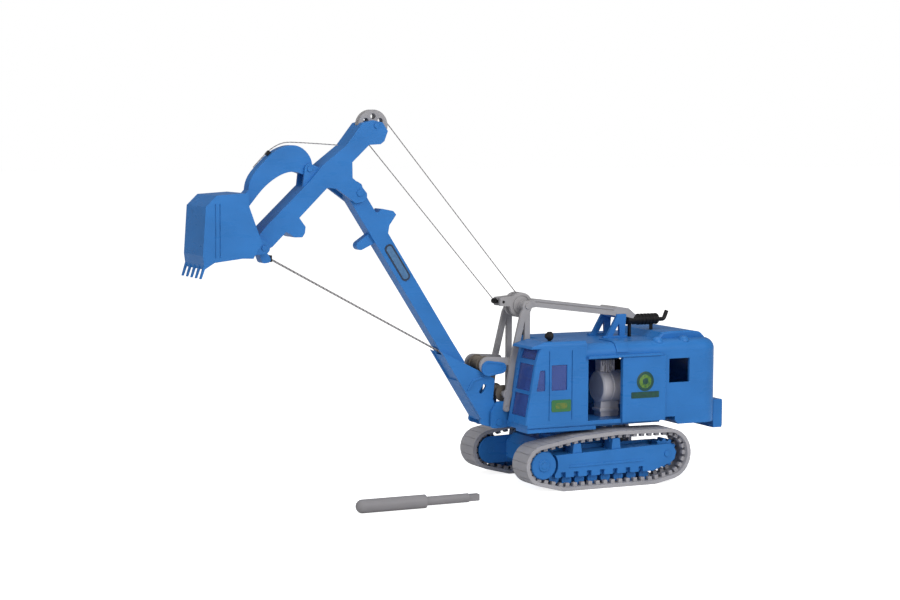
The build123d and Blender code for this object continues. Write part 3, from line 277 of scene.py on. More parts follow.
@dataclass(frozen=True)
class MouldedPlastic:
    """Injection-moulded plastic with flow clouds, fine grain, softened edges, and painted highlight
    with wear on its edges.

    Args:
        name: name of the material.
        colour: colour of the pigment.
        gloss: lowest and highest roughness.
        cloud: how far the flow clouds change the colour.
        grain: height of the fine grain, in millimetres.
        grain_size: size of one grain, in millimetres.
        edge_light_and_wear: brightness of the edges against the colour: a painted highlight above 1
            and a painted shade below 1, mixed with rubbed wear.
        edge_radius: radius that the edges seem to have, in millimetres.
        dust: how strongly pale specks of dust show.
        shine: strength of the reflections.
    """

    name: str
    colour: Colour
    gloss: tuple[float, float] = (0.26, 0.4)
    cloud: float = 0.07
    grain: float = 0.008
    grain_size: float = 0.35
    edge_light_and_wear: float = 1.35
    edge_radius: float = 0.16
    dust: float = 0.0
    shine: float = 0.2

    def build(self) -> bpy.types.Material:
        """Makes the material.

        Returns:
            The material.
        """
        bench = NodeBench(self.name)
        clouds = bench.noise(11.0, detail=2.0, stretch=(1.0, 0.7, 1.6))
        tone = bench.blend(bench.remap(clouds, *NOISE_SPAN, 0.0, 1.0),
                           shade(self.colour, 1 - self.cloud), shade(self.colour, 1 + self.cloud))
        normal, edges = bench.soft_edges(self.edge_radius)
        # Painted highlight on the edges (painted shade where the edge brightness is below 1), mixed
        # with rubbed wear and patchy by noise.
        edge_light_and_wear_mask = bench.times(edges, bench.remap(bench.noise(0.9), 0.35, 0.65, 0.25, 0.9))
        tone = bench.blend(edge_light_and_wear_mask, tone, shade(self.colour, self.edge_light_and_wear))
        if self.dust:
            specks = bench.remap(bench.noise(1.6, detail=6.0), 0.5, 0.72, 0.0, self.dust)
            tone = bench.blend(specks, tone, DUST_COLOUR)
        streaks = bench.noise(4.0, detail=4.0, stretch=(0.5, 1.0, 2.0))
        rough = bench.remap(streaks, *NOISE_SPAN, *self.gloss)
        bump = bench.add("ShaderNodeBump", Strength=0.6, Distance=self.grain * MM,
                         Height=bench.noise(self.grain_size, detail=4.0), Normal=normal)
        bench.shader(Base_Color=tone, Roughness=rough, Normal=bump.outputs[0],
                     Specular_IOR_Level=self.shine)
        return bench.material


@dataclass(frozen=True)
class ClearPane:
    """Tinted clear moulding of a window, with faint waves.

    Args:
        name: name of the material.
        tint: colour seen through the pane.
        body: opacity of the pane.
    """

    name: str
    tint: Colour
    body: float = 0.45

    def build(self) -> bpy.types.Material:
        """Makes the material.

        Returns:
            The material.
        """
        bench = NodeBench(self.name)
        wave = bench.add("ShaderNodeBump", Strength=0.3, Distance=0.02 * MM,
                         Height=bench.noise(2.5))
        rough = bench.remap(bench.noise(1.2), *NOISE_SPAN, 0.05, 0.14)
        clouds = bench.remap(bench.noise(6.0), *NOISE_SPAN, 0.0, 1.0)
        tone = bench.blend(clouds, self.tint, shade(self.tint, 1.25))
        bench.shader(Base_Color=tone, Roughness=rough, Alpha=self.body, Normal=wave.outputs[0])
        return bench.material


@dataclass(frozen=True)
class TwistedCord:
    """Laid cord with light and dark strands, read from the strand attribute.

    Args:
        name: name of the material.
        light: colour of the pale strands.
        dark: colour of the dark strand.
    """

    name: str
    light: Colour
    dark: Colour

    def build(self) -> bpy.types.Material:
        """Makes the material.

        Returns:
            The material.
        """
        bench = NodeBench(self.name)
        strand = bench.add("ShaderNodeAttribute", attribute_name="strand").outputs["Fac"]
        tone = bench.blend(strand, self.light, self.dark)
        dirt = bench.remap(bench.noise(0.25), 0.35, 0.7, 0.0, 0.5)
        tone = bench.blend(dirt, tone, shade(self.light, 0.6))
        fibre = bench.add("ShaderNodeBump", Strength=0.5, Distance=0.02 * MM,
                          Height=bench.noise(0.08))
        rough = bench.remap(bench.noise(1.0), *NOISE_SPAN, 0.6, 0.85)
        bench.shader(Base_Color=tone, Roughness=rough, Normal=fibre.outputs[0])
        return bench.material


@dataclass(frozen=True)
class PrintedInk:
    """Ink or enamel of a mark, slightly uneven as a pad print is.

    Args:
        name: name of the material.
        colour: colour of the ink.
        second: colour that it mottles towards.
    """

    name: str
    colour: Colour
    second: Colour

    def build(self) -> bpy.types.Material:
        """Makes the material.

        Returns:
            The material.
        """
        bench = NodeBench(self.name)
        patches = bench.remap(bench.noise(0.8, detail=4.0), 0.35, 0.65, 0.0, 1.0)
        skin = bench.add("ShaderNodeBump", Strength=0.4, Distance=0.01 * MM,
                         Height=bench.noise(0.2))
        tone = bench.blend(patches, self.colour, self.second)
        rough = bench.remap(bench.noise(0.6), *NOISE_SPAN, 0.35, 0.55)
        bench.shader(Base_Color=tone, Roughness=rough, Normal=skin.outputs[0])
        return bench.material


@dataclass
class Palette:
    # Each finish's edge brightness is a painted edge highlight mixed with wear; the key's is a
    # painted edge shade.
    blue: MouldedPlastic = MouldedPlastic("blue_moulding", srgb(50, 118, 189), gloss=(0.24, 0.38))
    track: MouldedPlastic = MouldedPlastic(
        "track_moulding", srgb(166, 165, 170), gloss=(0.55, 0.75), cloud=0.12, grain=0.02,
        grain_size=0.4, edge_light_and_wear=1.25, edge_radius=0.12, dust=0.25)
    mast: MouldedPlastic = MouldedPlastic(
        "mast_moulding", srgb(161, 159, 161), gloss=(0.35, 0.5), cloud=0.08, edge_light_and_wear=1.2)
    engine: MouldedPlastic = MouldedPlastic(
        "engine_moulding", srgb(208, 205, 209), gloss=(0.4, 0.6), cloud=0.1, dust=0.15)
    black: MouldedPlastic = MouldedPlastic(
        "black_moulding", srgb(26, 25, 27), gloss=(0.28, 0.45), cloud=0.2, grain=0.012,
        grain_size=0.5, edge_light_and_wear=2.2)
    seat: MouldedPlastic = MouldedPlastic(
        "seat_moulding", srgb(110, 52, 60), gloss=(0.4, 0.6), cloud=0.15)
    key: MouldedPlastic = MouldedPlastic(
        "key_moulding", srgb(139, 137, 140), gloss=(0.38, 0.55), cloud=0.06, grain=0.02,
        grain_size=0.3, edge_light_and_wear=0.8)
    drum: MouldedPlastic = MouldedPlastic(
        "drum_moulding", srgb(118, 110, 100), gloss=(0.5, 0.7), cloud=0.2, grain=0.02,
        grain_size=0.25, edge_light_and_wear=1.3)
    pane: ClearPane = ClearPane("window_pane", srgb(66, 88, 158), 0.64)
    cord: TwistedCord = TwistedCord("laid_cord", srgb(186, 183, 184), srgb(80, 77, 80))
    green: PrintedInk = PrintedInk("plate_green", srgb(46, 116, 68), srgb(58, 110, 62))
    amber: PrintedInk = PrintedInk("plate_amber", srgb(112, 122, 50), srgb(66, 114, 54))
    dark_green: PrintedInk = PrintedInk("mark_dark_green", srgb(16, 62, 60), srgb(22, 78, 62))
    leaf: PrintedInk = PrintedInk("mark_leaf_green", srgb(104, 144, 44), srgb(50, 96, 50))
    dark_ink: PrintedInk = PrintedInk("mark_dark_ink", srgb(20, 38, 62), srgb(30, 50, 78))
    steel_blue: PrintedInk = PrintedInk("mark_steel_blue", srgb(58, 104, 150), srgb(72, 118, 160))
    made: dict[str, bpy.types.Material] = field(default_factory=dict)

    def of(self, name: str) -> bpy.types.Material:
        """The material of a finish, made at its first use.

        Args:
            name: name of the finish's field.

        Returns:
            The material.
        """
        if name not in self.made:
            self.made[name] = getattr(self, name).build()
        return self.made[name]

    def dress(self, piece: bpy.types.Object, name: str) -> None:
        """Gives every material slot of a piece one finish.

        Args:
            piece: the piece.
            name: name of the finish's field.
        """
        if not piece.material_slots:
            piece.data.materials.append(self.of(name))
        for slot in piece.material_slots:
            slot.material = self.of(name)

    def dress_nodes(self, finish: str, *names: str) -> None:
        """Gives CAD nodes one finish.

        Args:
            finish: name of the finish's field.
            names: names of the nodes.
        """
        for name in names:
            self.dress(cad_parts[name], finish)
            log.info("dressed %s in %s", name, finish)


# ------------------------------------------------------------------ hand tools
class Bench:
    """Modelling steps that every new piece shares."""

    ALIGNED = 0.99           # cosine above which an edge or a face lies the wanted way
    CORNER_STEPS = 8         # faces round one corner of a plate
    RIM_SLOPE = 0.2          # width of a rim's inner slope, against the rim's width
    RIM_DEPTH = 0.5          # height of a rim over its plate, against the plate's thickness
    FACE_BORDER = 0.4        # border round a plain plate's face, against its thickness
    SMOOTH_UNDER = 35.0      # degrees between two faces of a round piece that shade as one

    @staticmethod
    def start_clear() -> None:
        """Leaves edit mode and deselects everything."""
        if bpy.context.object and bpy.context.object.mode != "OBJECT":
            bpy.ops.object.mode_set(mode="OBJECT")
        bpy.ops.object.select_all(action="DESELECT")

    @staticmethod
    def settle(name: str) -> bpy.types.Object:
        """Names the active piece and moves its place into its mesh.

        Args:
            name: name of the piece.

        Returns:
            The piece.
        """
        piece = bpy.context.object
        piece.name = piece.data.name = name
        bpy.ops.object.transform_apply(location=True, rotation=True, scale=True)
        return piece

    def pick_faces(self, piece: bpy.types.Object, direction: Point) -> None:
        """Selects the faces that look one way, in edit mode.

        Args:
            piece: the piece being edited.
            direction: the way that its faces have to look, in the piece's own axes.
        """
        bpy.ops.mesh.select_all(action="DESELECT")
        mesh = bmesh.from_edit_mesh(piece.data)
        aim = Vector(direction)
        for face in mesh.faces:
            face.select = face.normal.dot(aim) > self.ALIGNED
        mesh.select_flush(True)
        bmesh.update_edit_mesh(piece.data)

    def plate(self, name: str, centre: Point, size: tuple[float, float], thick: float,
              corner: float, turn: float = 0.0, rim: float = 0.0) -> bpy.types.Object:
        """Flat plate that faces the driver's side, with round corners and an optional raised rim.

        Args:
            name: name of the piece.
            centre: middle of its back, in millimetres.
            size: length and height.
            thick: thickness towards the driver's side.
            corner: radius of its corners.
            turn: turn about the crosswise axis, in degrees, positive from +X to +Z.
            rim: width of a raised rim, or 0.

        Returns:
            The finished plate.
        """
        self.start_clear()
        middle = (centre[0] * MM, (centre[1] + thick / 2) * MM, centre[2] * MM)
        bpy.ops.mesh.primitive_cube_add(size=1, location=middle,
                                        rotation=(0, -math.radians(turn), 0))
        piece = bpy.context.object
        piece.scale = (size[0] * MM, thick * MM, size[1] * MM)
        bpy.ops.object.transform_apply(location=False, rotation=False, scale=True)
        bpy.ops.object.mode_set(mode="EDIT")
        bpy.ops.mesh.select_mode(type="EDGE")
        bpy.ops.mesh.select_all(action="DESELECT")
        mesh = bmesh.from_edit_mesh(piece.data)
        for edge in mesh.edges:
            run = (edge.verts[0].co - edge.verts[1].co).normalized()
            edge.select = abs(run.y) > self.ALIGNED
        bmesh.update_edit_mesh(piece.data)
        bpy.ops.mesh.bevel(offset=corner * MM, segments=self.CORNER_STEPS, affect="EDGES")
        bpy.ops.mesh.select_mode(type="FACE")
        self.pick_faces(piece, (0, 1, 0))
        if rim:
            bpy.ops.mesh.inset(thickness=rim * MM, depth=0)
            bpy.ops.mesh.inset(thickness=rim * self.RIM_SLOPE * MM,
                               depth=-thick * self.RIM_DEPTH * MM)
        else:
            bpy.ops.mesh.inset(thickness=thick * self.FACE_BORDER * MM, depth=0)
        bpy.ops.object.mode_set(mode="OBJECT")
        return self.settle(name)

    def knob(self, name: str, centre: Point, profile: list[tuple[float, float]],
             sides: int = 32) -> bpy.types.Object:
        """Round piece turned about a crosswise axis, growing towards the driver's side.

        Args:
            name: name of the piece.
            centre: middle of its back, in millimetres.
            profile: steps of (radius, height) from the back outwards; the first is the back's edge.
            sides: faces round the axis.

        Returns:
            The finished piece.
        """
        self.start_clear()
        last_radius, last_height = profile[0]
        where = (centre[0] * MM, centre[1] * MM, centre[2] * MM)
        bpy.ops.mesh.primitive_circle_add(vertices=sides, radius=last_radius * MM, fill_type="NGON",
                                          location=where, rotation=(math.radians(-90), 0, 0))
        piece = bpy.context.object
        bpy.ops.object.mode_set(mode="EDIT")
        bpy.ops.mesh.select_mode(type="FACE")
        bpy.ops.mesh.select_all(action="SELECT")
        for radius, height in profile[1:]:
            rise = (0, (height - last_height) * MM, 0)
            bpy.ops.mesh.extrude_region_move(TRANSFORM_OT_translate={"value": rise})
            if radius != last_radius:
                share = radius / last_radius
                middle = (where[0], where[1] + height * MM, where[2])
                bpy.ops.transform.resize(value=(share, 1, share), center_override=middle)
            last_radius, last_height = radius, height
        bpy.ops.mesh.select_all(action="SELECT")
        bpy.ops.mesh.normals_make_consistent(inside=False)
        bpy.ops.object.mode_set(mode="OBJECT")
        piece = self.settle(name)
        bpy.ops.object.shade_smooth_by_angle(angle=math.radians(self.SMOOTH_UNDER))
        return piece

    def hoop(self, name: str, centre: Point, radius: float, thick: float,
             tilt: float = 0.0) -> bpy.types.Object:
        """Round hoop that faces the driver's side.

        Args:
            name: name of the piece.
            centre: its middle, in millimetres.
            radius: from its middle to the middle of the rod.
            thick: radius of the rod.
            tilt: turn about the upright axis, in degrees.

        Returns:
            The finished hoop.
        """
        self.start_clear()
        where = (centre[0] * MM, centre[1] * MM, centre[2] * MM)
        bpy.ops.mesh.primitive_torus_add(major_segments=40, minor_segments=14,
                                         major_radius=radius * MM, minor_radius=thick * MM,
                                         location=where,
                                         rotation=(math.radians(90), 0, math.radians(tilt)))
        piece = self.settle(name)
        bpy.ops.object.shade_smooth()
        return piece

    def place(self, piece: bpy.types.Object, body: Body, slot: Slot, palette: Palette,
              finish: str) -> None:
        """Dresses a piece and lets it ride on its body.

        Args:
            piece: the piece.
            body: the body that it rides on.
            slot: its material slot in the record; not used.
            finish: name of its finish.
        """
        palette.dress(piece, finish)
        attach(piece, body.value)
        log.info("made %s on %s", piece.name, body.value)


# ------------------------------------------------------------------ cords
@dataclass
class Span:
    """One stretch of a cord, between two lengths along it.

    Args:
        name: name of the piece.
        node: CAD node that it stands for.
        bodies: the body it rides on, or the two bodies that it stretches between.
        begin: length along the cord where it starts, in millimetres.
        end: length where it stops, or None for the cord's end.
        tight_from: length where it starts to follow the second body.
        tight_to: length where it follows the second body fully.
        back_from: length where it starts to return to the first body, or None.
    """

    name: str
    node: str
    bodies: tuple[str, ...]
    begin: float = 0.0
    end: float | None = None
    tight_from: float = 0.0
    tight_to: float = 0.0
    back_from: float | None = None


@dataclass
class LaidCord:
    """Three-strand cord of the hoist, drag and brace lines.

    Args:
        diameter: diameter over the strands.
        lay: length of one turn of a strand.
        step: length between two rings of a strand.
        sides: faces round a strand.
        packing: the cord's diameter against a strand's; strands that just touch would give 2.155.
        strand_tones: share of the dark colour in each strand.
    """

    diameter: float = 0.34
    lay: float = 1.3
    step: float = 0.14
    sides: int = 6
    packing: float = 2.08
    strand_tones: tuple[float, ...] = (1.0, 0.12, 0.24)

    def centreline(self, name: str, y: float, points: list[tuple[float, float]]) -> np.ndarray:
        """Smooth line of a cord in one plane across the machine.

        Args:
            name: name for the helper curve.
            y: distance of the plane from the middle.
            points: control points (x, z).

        Returns:
            Points along the line, evenly spaced, in millimetres.
        """
        curve = bpy.data.curves.new(name, "CURVE")
        curve.dimensions = "3D"
        curve.resolution_u = 24
        spline = curve.splines.new("NURBS")
        spline.points.add(len(points) - 1)
        for knot, (x, z) in zip(spline.points, points):
            knot.co = (x * MM, y * MM, z * MM, 1.0)
        spline.order_u = 3
        spline.use_endpoint_u = True
        helper = bpy.data.objects.new(name, curve)
        bpy.context.scene.collection.objects.link(helper)
        bpy.context.view_layer.update()
        mesh = bpy.data.meshes.new_from_object(helper)
        line = np.array([v.co for v in mesh.vertices]) / MM
        bpy.data.objects.remove(helper)
        bpy.data.meshes.remove(mesh)
        along = np.concatenate([[0], np.cumsum(np.linalg.norm(np.diff(line, axis=0), axis=1))])
        steps = np.linspace(0, along[-1], int(along[-1] / self.step) + 1)
        return np.stack([np.interp(steps, along, line[:, k]) for k in range(3)], axis=1)

    def skin(self, start: int, rings: int) -> list[tuple[int, ...]]:
        """Faces of one strand, with both ends closed.

        Args:
            start: number of its first vertex.
            rings: how many rings of vertices it has.

        Returns:
            The vertices of each face.
        """
        faces = []
        for ring in range(rings - 1):
            first = start + ring * self.sides
            for side in range(self.sides):
                a, b = first + side, first + (side + 1) % self.sides
                faces.append((a, b, b + self.sides, a + self.sides))
        faces.append(tuple(start + side for side in reversed(range(self.sides))))
        faces.append(tuple(start + (rings - 1) * self.sides + side for side in range(self.sides)))
        return faces

    def strands(self, name: str, line: np.ndarray, offset: float) -> bpy.types.Object:
        """Three strands laid round a centreline.

        Args:
            name: name of the piece.
            line: points of the centreline, in millimetres.
            offset: length along the whole cord at the first point, so that the lay runs on.

        Returns:
            The mesh piece.
        """
        strand_r = self.diameter / 2 / self.packing
        lay_r = self.diameter / 2 - strand_r
        along = np.gradient(line, axis=0)
        along /= np.linalg.norm(along, axis=1)[:, None]
        across = np.array([0.0, 1.0, 0.0])
        third = np.cross(along, across)
        vertices, faces, tones = [], [], []
        for strand, tone in enumerate(self.strand_tones):
            start = len(vertices)
            lead = strand / len(self.strand_tones)
            for i, spot in enumerate(line):
                turn = 2 * math.pi * ((offset + i * self.step) / self.lay + lead)
                middle = spot + lay_r * (math.cos(turn) * across + math.sin(turn) * third[i])
                for side in range(self.sides):
                    angle = 2 * math.pi * side / self.sides
                    reach = math.cos(angle) * across + math.sin(angle) * third[i]
                    vertices.append((middle + strand_r * reach) * MM)
                    tones.append(tone)
            faces += self.skin(start, len(line))
        mesh = bpy.data.meshes.new(name)
        mesh.from_pydata(vertices, [], faces)
        mesh.update()
        attribute = mesh.attributes.new("strand", "FLOAT", "POINT")
        attribute.data.foreach_set("value", tones)
        solid = bmesh.new()
        solid.from_mesh(mesh)
        bmesh.ops.recalc_face_normals(solid, faces=solid.faces)
        solid.to_mesh(mesh)
        solid.free()
        for face in mesh.polygons:
            face.use_smooth = len(face.vertices) == 4
        piece = bpy.data.objects.new(name, mesh)
        bpy.context.scene.collection.objects.link(piece)
        return piece

    def lay_spans(self, line: np.ndarray, spans: list[Span], palette: Palette) -> None:
        """Makes each stretch of a cord; one on a single body rides on it, one between two bodies
        stays fixed in place.

        Args:
            line: evenly spaced points of the whole cord.
            spans: its stretches.
            palette: the finishes.
        """
        gaps = np.linalg.norm(np.diff(line, axis=0), axis=1)
        along = np.concatenate([[0], np.cumsum(gaps)])
        for span in spans:
            end = along[-1] if span.end is None else span.end
            first = int(np.argmin(abs(along - span.begin)))
            last = int(np.argmin(abs(along - end)))
            part = line[first:last + 1]
            piece = self.strands(span.name, part, along[first])
            palette.dress(piece, "cord")
            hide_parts(span.node)
            if len(span.bodies) == 1:
                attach(piece, span.bodies[0])
            else:
                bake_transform(piece)
                self.weigh(along[first:last + 1], span)

    def weigh(self, along: np.ndarray, span: Span) -> None:
        """Works out how far each ring of a stretch would follow its second body; the result is not
        kept.

        Args:
            along: length along the cord at each ring.
            span: the stretch.
        """
        weight = np.clip((along - span.tight_from) / (span.tight_to - span.tight_from), 0, 1)
        if span.back_from is not None:
            fade = np.clip((along[-1] - along) / (along[-1] - span.back_from), 0, 1)
            weight = np.minimum(weight, fade)
        weight = weight * weight * (3 - 2 * weight)


@dataclass
class Rigging:
    """Hoist, drag and brace lines.

    Args:
        hoist: control points of the hoist line, from its drum over both sheaves to the eye.
        drag: control points of a drag line, from the shovel through the boom to its drum.
        brace: control points of the short line over the brace.
        drag_y: distance of each drag line from the middle.
    """

    hoist: tuple = ((24.233, 27.205), (18.868, 51.762), (18.352, 54.126), (18.555, 54.942),
                    (20.117, 56.789), (64.512, 109.292), (66.803, 112.0), (70.338, 112.275),
                    (73.021, 109.955), (73.259, 106.416), (70.91, 103.758), (28.851, 56.212))
    drag: tuple = ((34.03, 34.415), (36.6, 35.7), (48.5, 41.9), (100.4, 69.8))
    brace: tuple = ((105.5, 95.9), (102.9, 98.6), (100.4, 101.0), (96.9, 102.9), (92.8, 103.1),
                    (79.4, 102.2))
    drag_y: float = 1.2
    cord: LaidCord = field(default_factory=LaidCord)

    def build(self, palette: Palette) -> None:
        """Lays every line.
        """
        house, boom, stick = Body.HOUSE.value, Body.BOOM.value, Body.STICK.value
        line = self.cord.centreline("hoist_route", 0.0, list(self.hoist))
        self.cord.lay_spans(line, [
            Span("hoist_rope_rise", "hoist_rope", (house, boom), end=82.0, tight_from=31.0,
                 tight_to=82.0),
            Span("hoist_rope_crown", "hoist_rope", (boom, stick), begin=82.0, end=136.0,
                 tight_from=82.0, tight_to=100.0, back_from=116.0),
            Span("hoist_rope_fall", "hoist_rope", (boom, house), begin=136.0, tight_from=136.0,
                 tight_to=180.0),
        ], palette)
        for name, y in (("left", self.drag_y), ("right", -self.drag_y)):
            line = self.cord.centreline("drag_route", y, list(self.drag))
            self.cord.lay_spans(line, [
                Span("drag_rope_%s_in" % name, "drag_rope", (house, boom), end=31.0, tight_to=16.0),
                Span("drag_rope_%s_out" % name, "drag_rope", (boom, stick), begin=31.0,
                     tight_from=31.0, tight_to=75.0),
            ], palette)
        line = self.cord.centreline("brace_route", 0.0, list(self.brace))
        self.cord.lay_spans(line, [Span("brace_rope_line", "brace_rope", (stick,))], palette)


# ------------------------------------------------------------------ sub-assemblies
class SubAssembly:
    """One part of the machine; a plain one only dresses its CAD nodes."""

    def build(self, palette: Palette, bench: Bench) -> None:
        """Dresses the nodes and adds the small pieces that the CAD leaves out.

        Args:
            bench: where new pieces are made.
        """
        raise NotImplementedError


class Undercarriage(SubAssembly):
    """Crawler tracks, side frames, wheels and turntable."""

    def build(self, palette: Palette, bench: Bench) -> None:
        """Dresses the nodes.

        Args:
            bench: where new pieces are made; not used.
        """
        palette.dress_nodes("track", "track_belt_left", "track_belt_right")
        palette.dress_nodes("blue", "centre_frame", "side_frame_left", "side_frame_right",
                            "road_rollers", "return_rollers", "wheel_axles", "idler_left",
                            "idler_right", "sprocket_left", "sprocket_right", "slew_ring")


@dataclass(frozen=True)
class MarkLayer:
    """Round layer of the door's mark.

    Args:
        name: name of the piece.
        finish: name of its finish.
        radius: its outer radius.
        side: height of its upright side.
        top: height of its face.
        hole: radius where its face stops, or 0.
    """

    name: str
    finish: str
    radius: float
    side: float
    top: float
    hole: float = 0.0

    def profile(self, soft: float) -> list[tuple[float, float]]:
        """Steps of the layer from its back outwards.

        Args:
            soft: width of its softened edge.

        Returns:
            Steps of (radius, height).
        """
        steps = [(self.radius, 0.0), (self.radius, self.side), (self.radius - soft, self.top)]
        return steps + [(self.hole, self.top)] if self.hole else steps


@dataclass
class MachineHouse(SubAssembly):
    """Machinery house with its ballast, engine, sliding door and door mark.

    Args:
        pipes: place along the machine and radius of each bent pipe on the engine.
        pipe_y: how far to the driver's side the pipes stand.
        pipe_z: height of their middle.
        pipe_rod: radius of their rod.
        pipe_tilt: turn about the upright axis, in degrees.
        mark_x: middle of the door mark.
        mark_z: height of its round layers.
        mark_layers: its round layers.
        mark_soft: width of their softened edges.
        mark_sides: faces round them.
        band_drop: how far the band lies below their middle.
        band_size: length and height of the band.
        face_y: outer face of the door.
    """

    pipes: tuple[tuple[float, float], ...] = ((-5.2, 1.25), (-7.0, 1.0))
    pipe_y: float = 9.4
    pipe_z: float = 34.6
    pipe_rod: float = 0.3
    pipe_tilt: float = 12.0
    mark_x: float = -13.4
    mark_z: float = 31.2
    mark_layers: tuple[MarkLayer, ...] = (
        MarkLayer("door_mark_ring", "dark_green", radius=3.0, side=0.05, top=0.08, hole=2.2),
        MarkLayer("door_mark_disc", "leaf", radius=2.1, side=0.1, top=0.12),
        MarkLayer("door_mark_heart", "dark_green", radius=1.0, side=0.14, top=0.16))
    mark_soft: float = 0.05
    mark_sides: int = 48
    band_drop: float = 4.1
    band_size: tuple[float, float] = (9.8, 1.9)
    face_y: float = 19.32

    def build(self, palette: Palette, bench: Bench) -> None:
        """Dresses the nodes, and adds the engine's pipes and the door's mark.

        Args:
            bench: where new pieces are made.
        """
        palette.dress_nodes("blue", "platform_deck", "counterweight", "house_walls", "house_roof",
                            "rear_hood", "roof_vents", "door_rail", "sliding_door", "roof_strap")
        palette.dress_nodes("engine", "engine_base", "engine_drum", "engine_head")
        palette.dress_nodes("black", "air_filter")
        self.engine_pipes(palette, bench)
        self.door_mark(palette, bench)

    def engine_pipes(self, palette: Palette, bench: Bench) -> None:
        """Two bent pipes on top of the engine.

        Args:
            bench: where new pieces are made.
        """
        for i, (x, radius) in enumerate(self.pipes, start=1):
            middle = (x, self.pipe_y, self.pipe_z)
            pipe = bench.hoop("engine_pipe_%d" % i, middle, radius, self.pipe_rod, self.pipe_tilt)
            bench.place(pipe, Body.HOUSE, Slot.ENGINE, palette, "engine")

    def door_mark(self, palette: Palette, bench: Bench) -> None:
        """Round mark of plain rings, and a plain band below.

        Args:
            bench: where new pieces are made.
        """
        middle = (self.mark_x, self.face_y, self.mark_z)
        for layer in self.mark_layers:
            part = bench.knob(layer.name, middle, layer.profile(self.mark_soft), self.mark_sides)
            bench.place(part, Body.DOOR, Slot.BLUE, palette, layer.finish)
        below = (self.mark_x, self.face_y, self.mark_z - self.band_drop)
        band = bench.plate("door_mark_band", below, self.band_size, thick=0.1, corner=0.3, rim=0.25)
        bench.place(band, Body.DOOR, Slot.BLUE, palette, "dark_green")


@dataclass
class DriverCab(SubAssembly):
    """Driver's cab with its panes, seat, levers and side plate.

    Args:
        plate_x: middle of the side plate.
        plate_z: height of its middle.
        plate_size: length and height of the plate.
        patch_size: length and height of the patch on it.
        patch_lift: how far the patch's back stands before the cab's face.
        face_y: outer face of the cab.
    """

    plate_x: float = 15.2
    plate_z: float = 25.2
    plate_size: tuple[float, float] = (6.6, 3.6)
    patch_size: tuple[float, float] = (4.0, 1.7)
    patch_lift: float = 0.06
    face_y: float = 18.5

    def build(self, palette: Palette, bench: Bench) -> None:
        """Dresses the nodes and puts the plate on the side.

        Args:
            bench: where new pieces are made.
        """
        palette.dress_nodes("blue", "cab_shell", "cab_roof")
        palette.dress_nodes("pane", "cab_glazing")
        palette.dress_nodes("seat", "driver_seat")
        palette.dress_nodes("black", "control_levers", "roof_fittings")
        middle = (self.plate_x, self.face_y, self.plate_z)
        plate = bench.plate("cab_side_plate", middle, self.plate_size, thick=0.12, corner=0.5,
                            rim=0.3)
        bench.place(plate, Body.HOUSE, Slot.BLUE, palette, "green")
        middle = (self.plate_x, self.face_y + self.patch_lift, self.plate_z)
        patch = bench.plate("cab_plate_patch", middle, self.patch_size, thick=0.08, corner=0.8)
        bench.place(patch, Body.HOUSE, Slot.BLUE, palette, "amber")


class MastAndGantry(SubAssembly):
    """Grey mast, stays, drums and the exhaust on the roof."""

    def build(self, palette: Palette, bench: Bench) -> None:
        """Dresses the nodes.

        Args:
            bench: where new pieces are made; not used.
        """
        palette.dress_nodes("mast", "mast_frame_left", "mast_frame_right", "mast_head", "mast_pins",
                            "drum_arms", "gantry_stays", "stay_yoke", "mast_sheave", "stick_sheave")
        palette.dress_nodes("blue", "gantry", "drum_cover")
        palette.dress_nodes("black", "muffler", "rope_eye")
        palette.dress_nodes("drum", "hoist_drum", "drag_drum")


@dataclass
class DiggingArm(SubAssembly):
    """Boom, stick, brace and shovel.

    Args:
        plate_middle: middle (x, z) of the nameplate's place on the boom.
        plate_turn: slope of the boom, in degrees.
        plate_size: length and height of the nameplate.
        inlay_size: length and height of its inlay.
        face_y: side face of the boom.
    """

    plate_middle: tuple[float, float] = (61.5, 67.95)
    plate_turn: float = 57.0
    plate_size: tuple[float, float] = (12.4, 2.9)
    inlay_size: tuple[float, float] = (11.3, 1.9)
    face_y: float = 2.4

    def build(self, palette: Palette, bench: Bench) -> None:
        """Dresses the nodes and puts the bare nameplate on the boom.

        Args:
            bench: where new pieces are made.
        """
        palette.dress_nodes("blue", "boom", "boom_foot", "boom_pin", "stick", "stick_pins",
                            "bucket", "brace")
        palette.dress_nodes("black", "rope_clips")
        middle = (self.plate_middle[0], self.face_y, self.plate_middle[1])
        plate = bench.plate("boom_plate_frame", middle, self.plate_size, thick=0.12, corner=1.3,
                            turn=self.plate_turn, rim=0.35)
        bench.place(plate, Body.BOOM, Slot.BLUE, palette, "dark_ink")
        inlay = bench.plate("boom_plate_inlay", middle, self.inlay_size, thick=0.1, corner=0.9,
                            turn=self.plate_turn)
        bench.place(inlay, Body.BOOM, Slot.BLUE, palette, "steel_blue")


class WindingKey(SubAssembly):
    """Loose key that winds the drums."""

    def build(self, palette: Palette, bench: Bench) -> None:
        """Dresses the key.

        Args:
            bench: where new pieces are made; not used.
        """
        palette.dress_nodes("key", "winding_key")


# ------------------------------------------------------------------ studio
@dataclass(frozen=True)
class SoftLamp:
    """Square soft lamp that points at the machine.

    Args:
        name: name of the lamp.
        place: where it hangs, in metres.
        size: length of its side, in metres.
        power: its power, in watts.
    """

    name: str
    place: Point
    size: float
    power: float


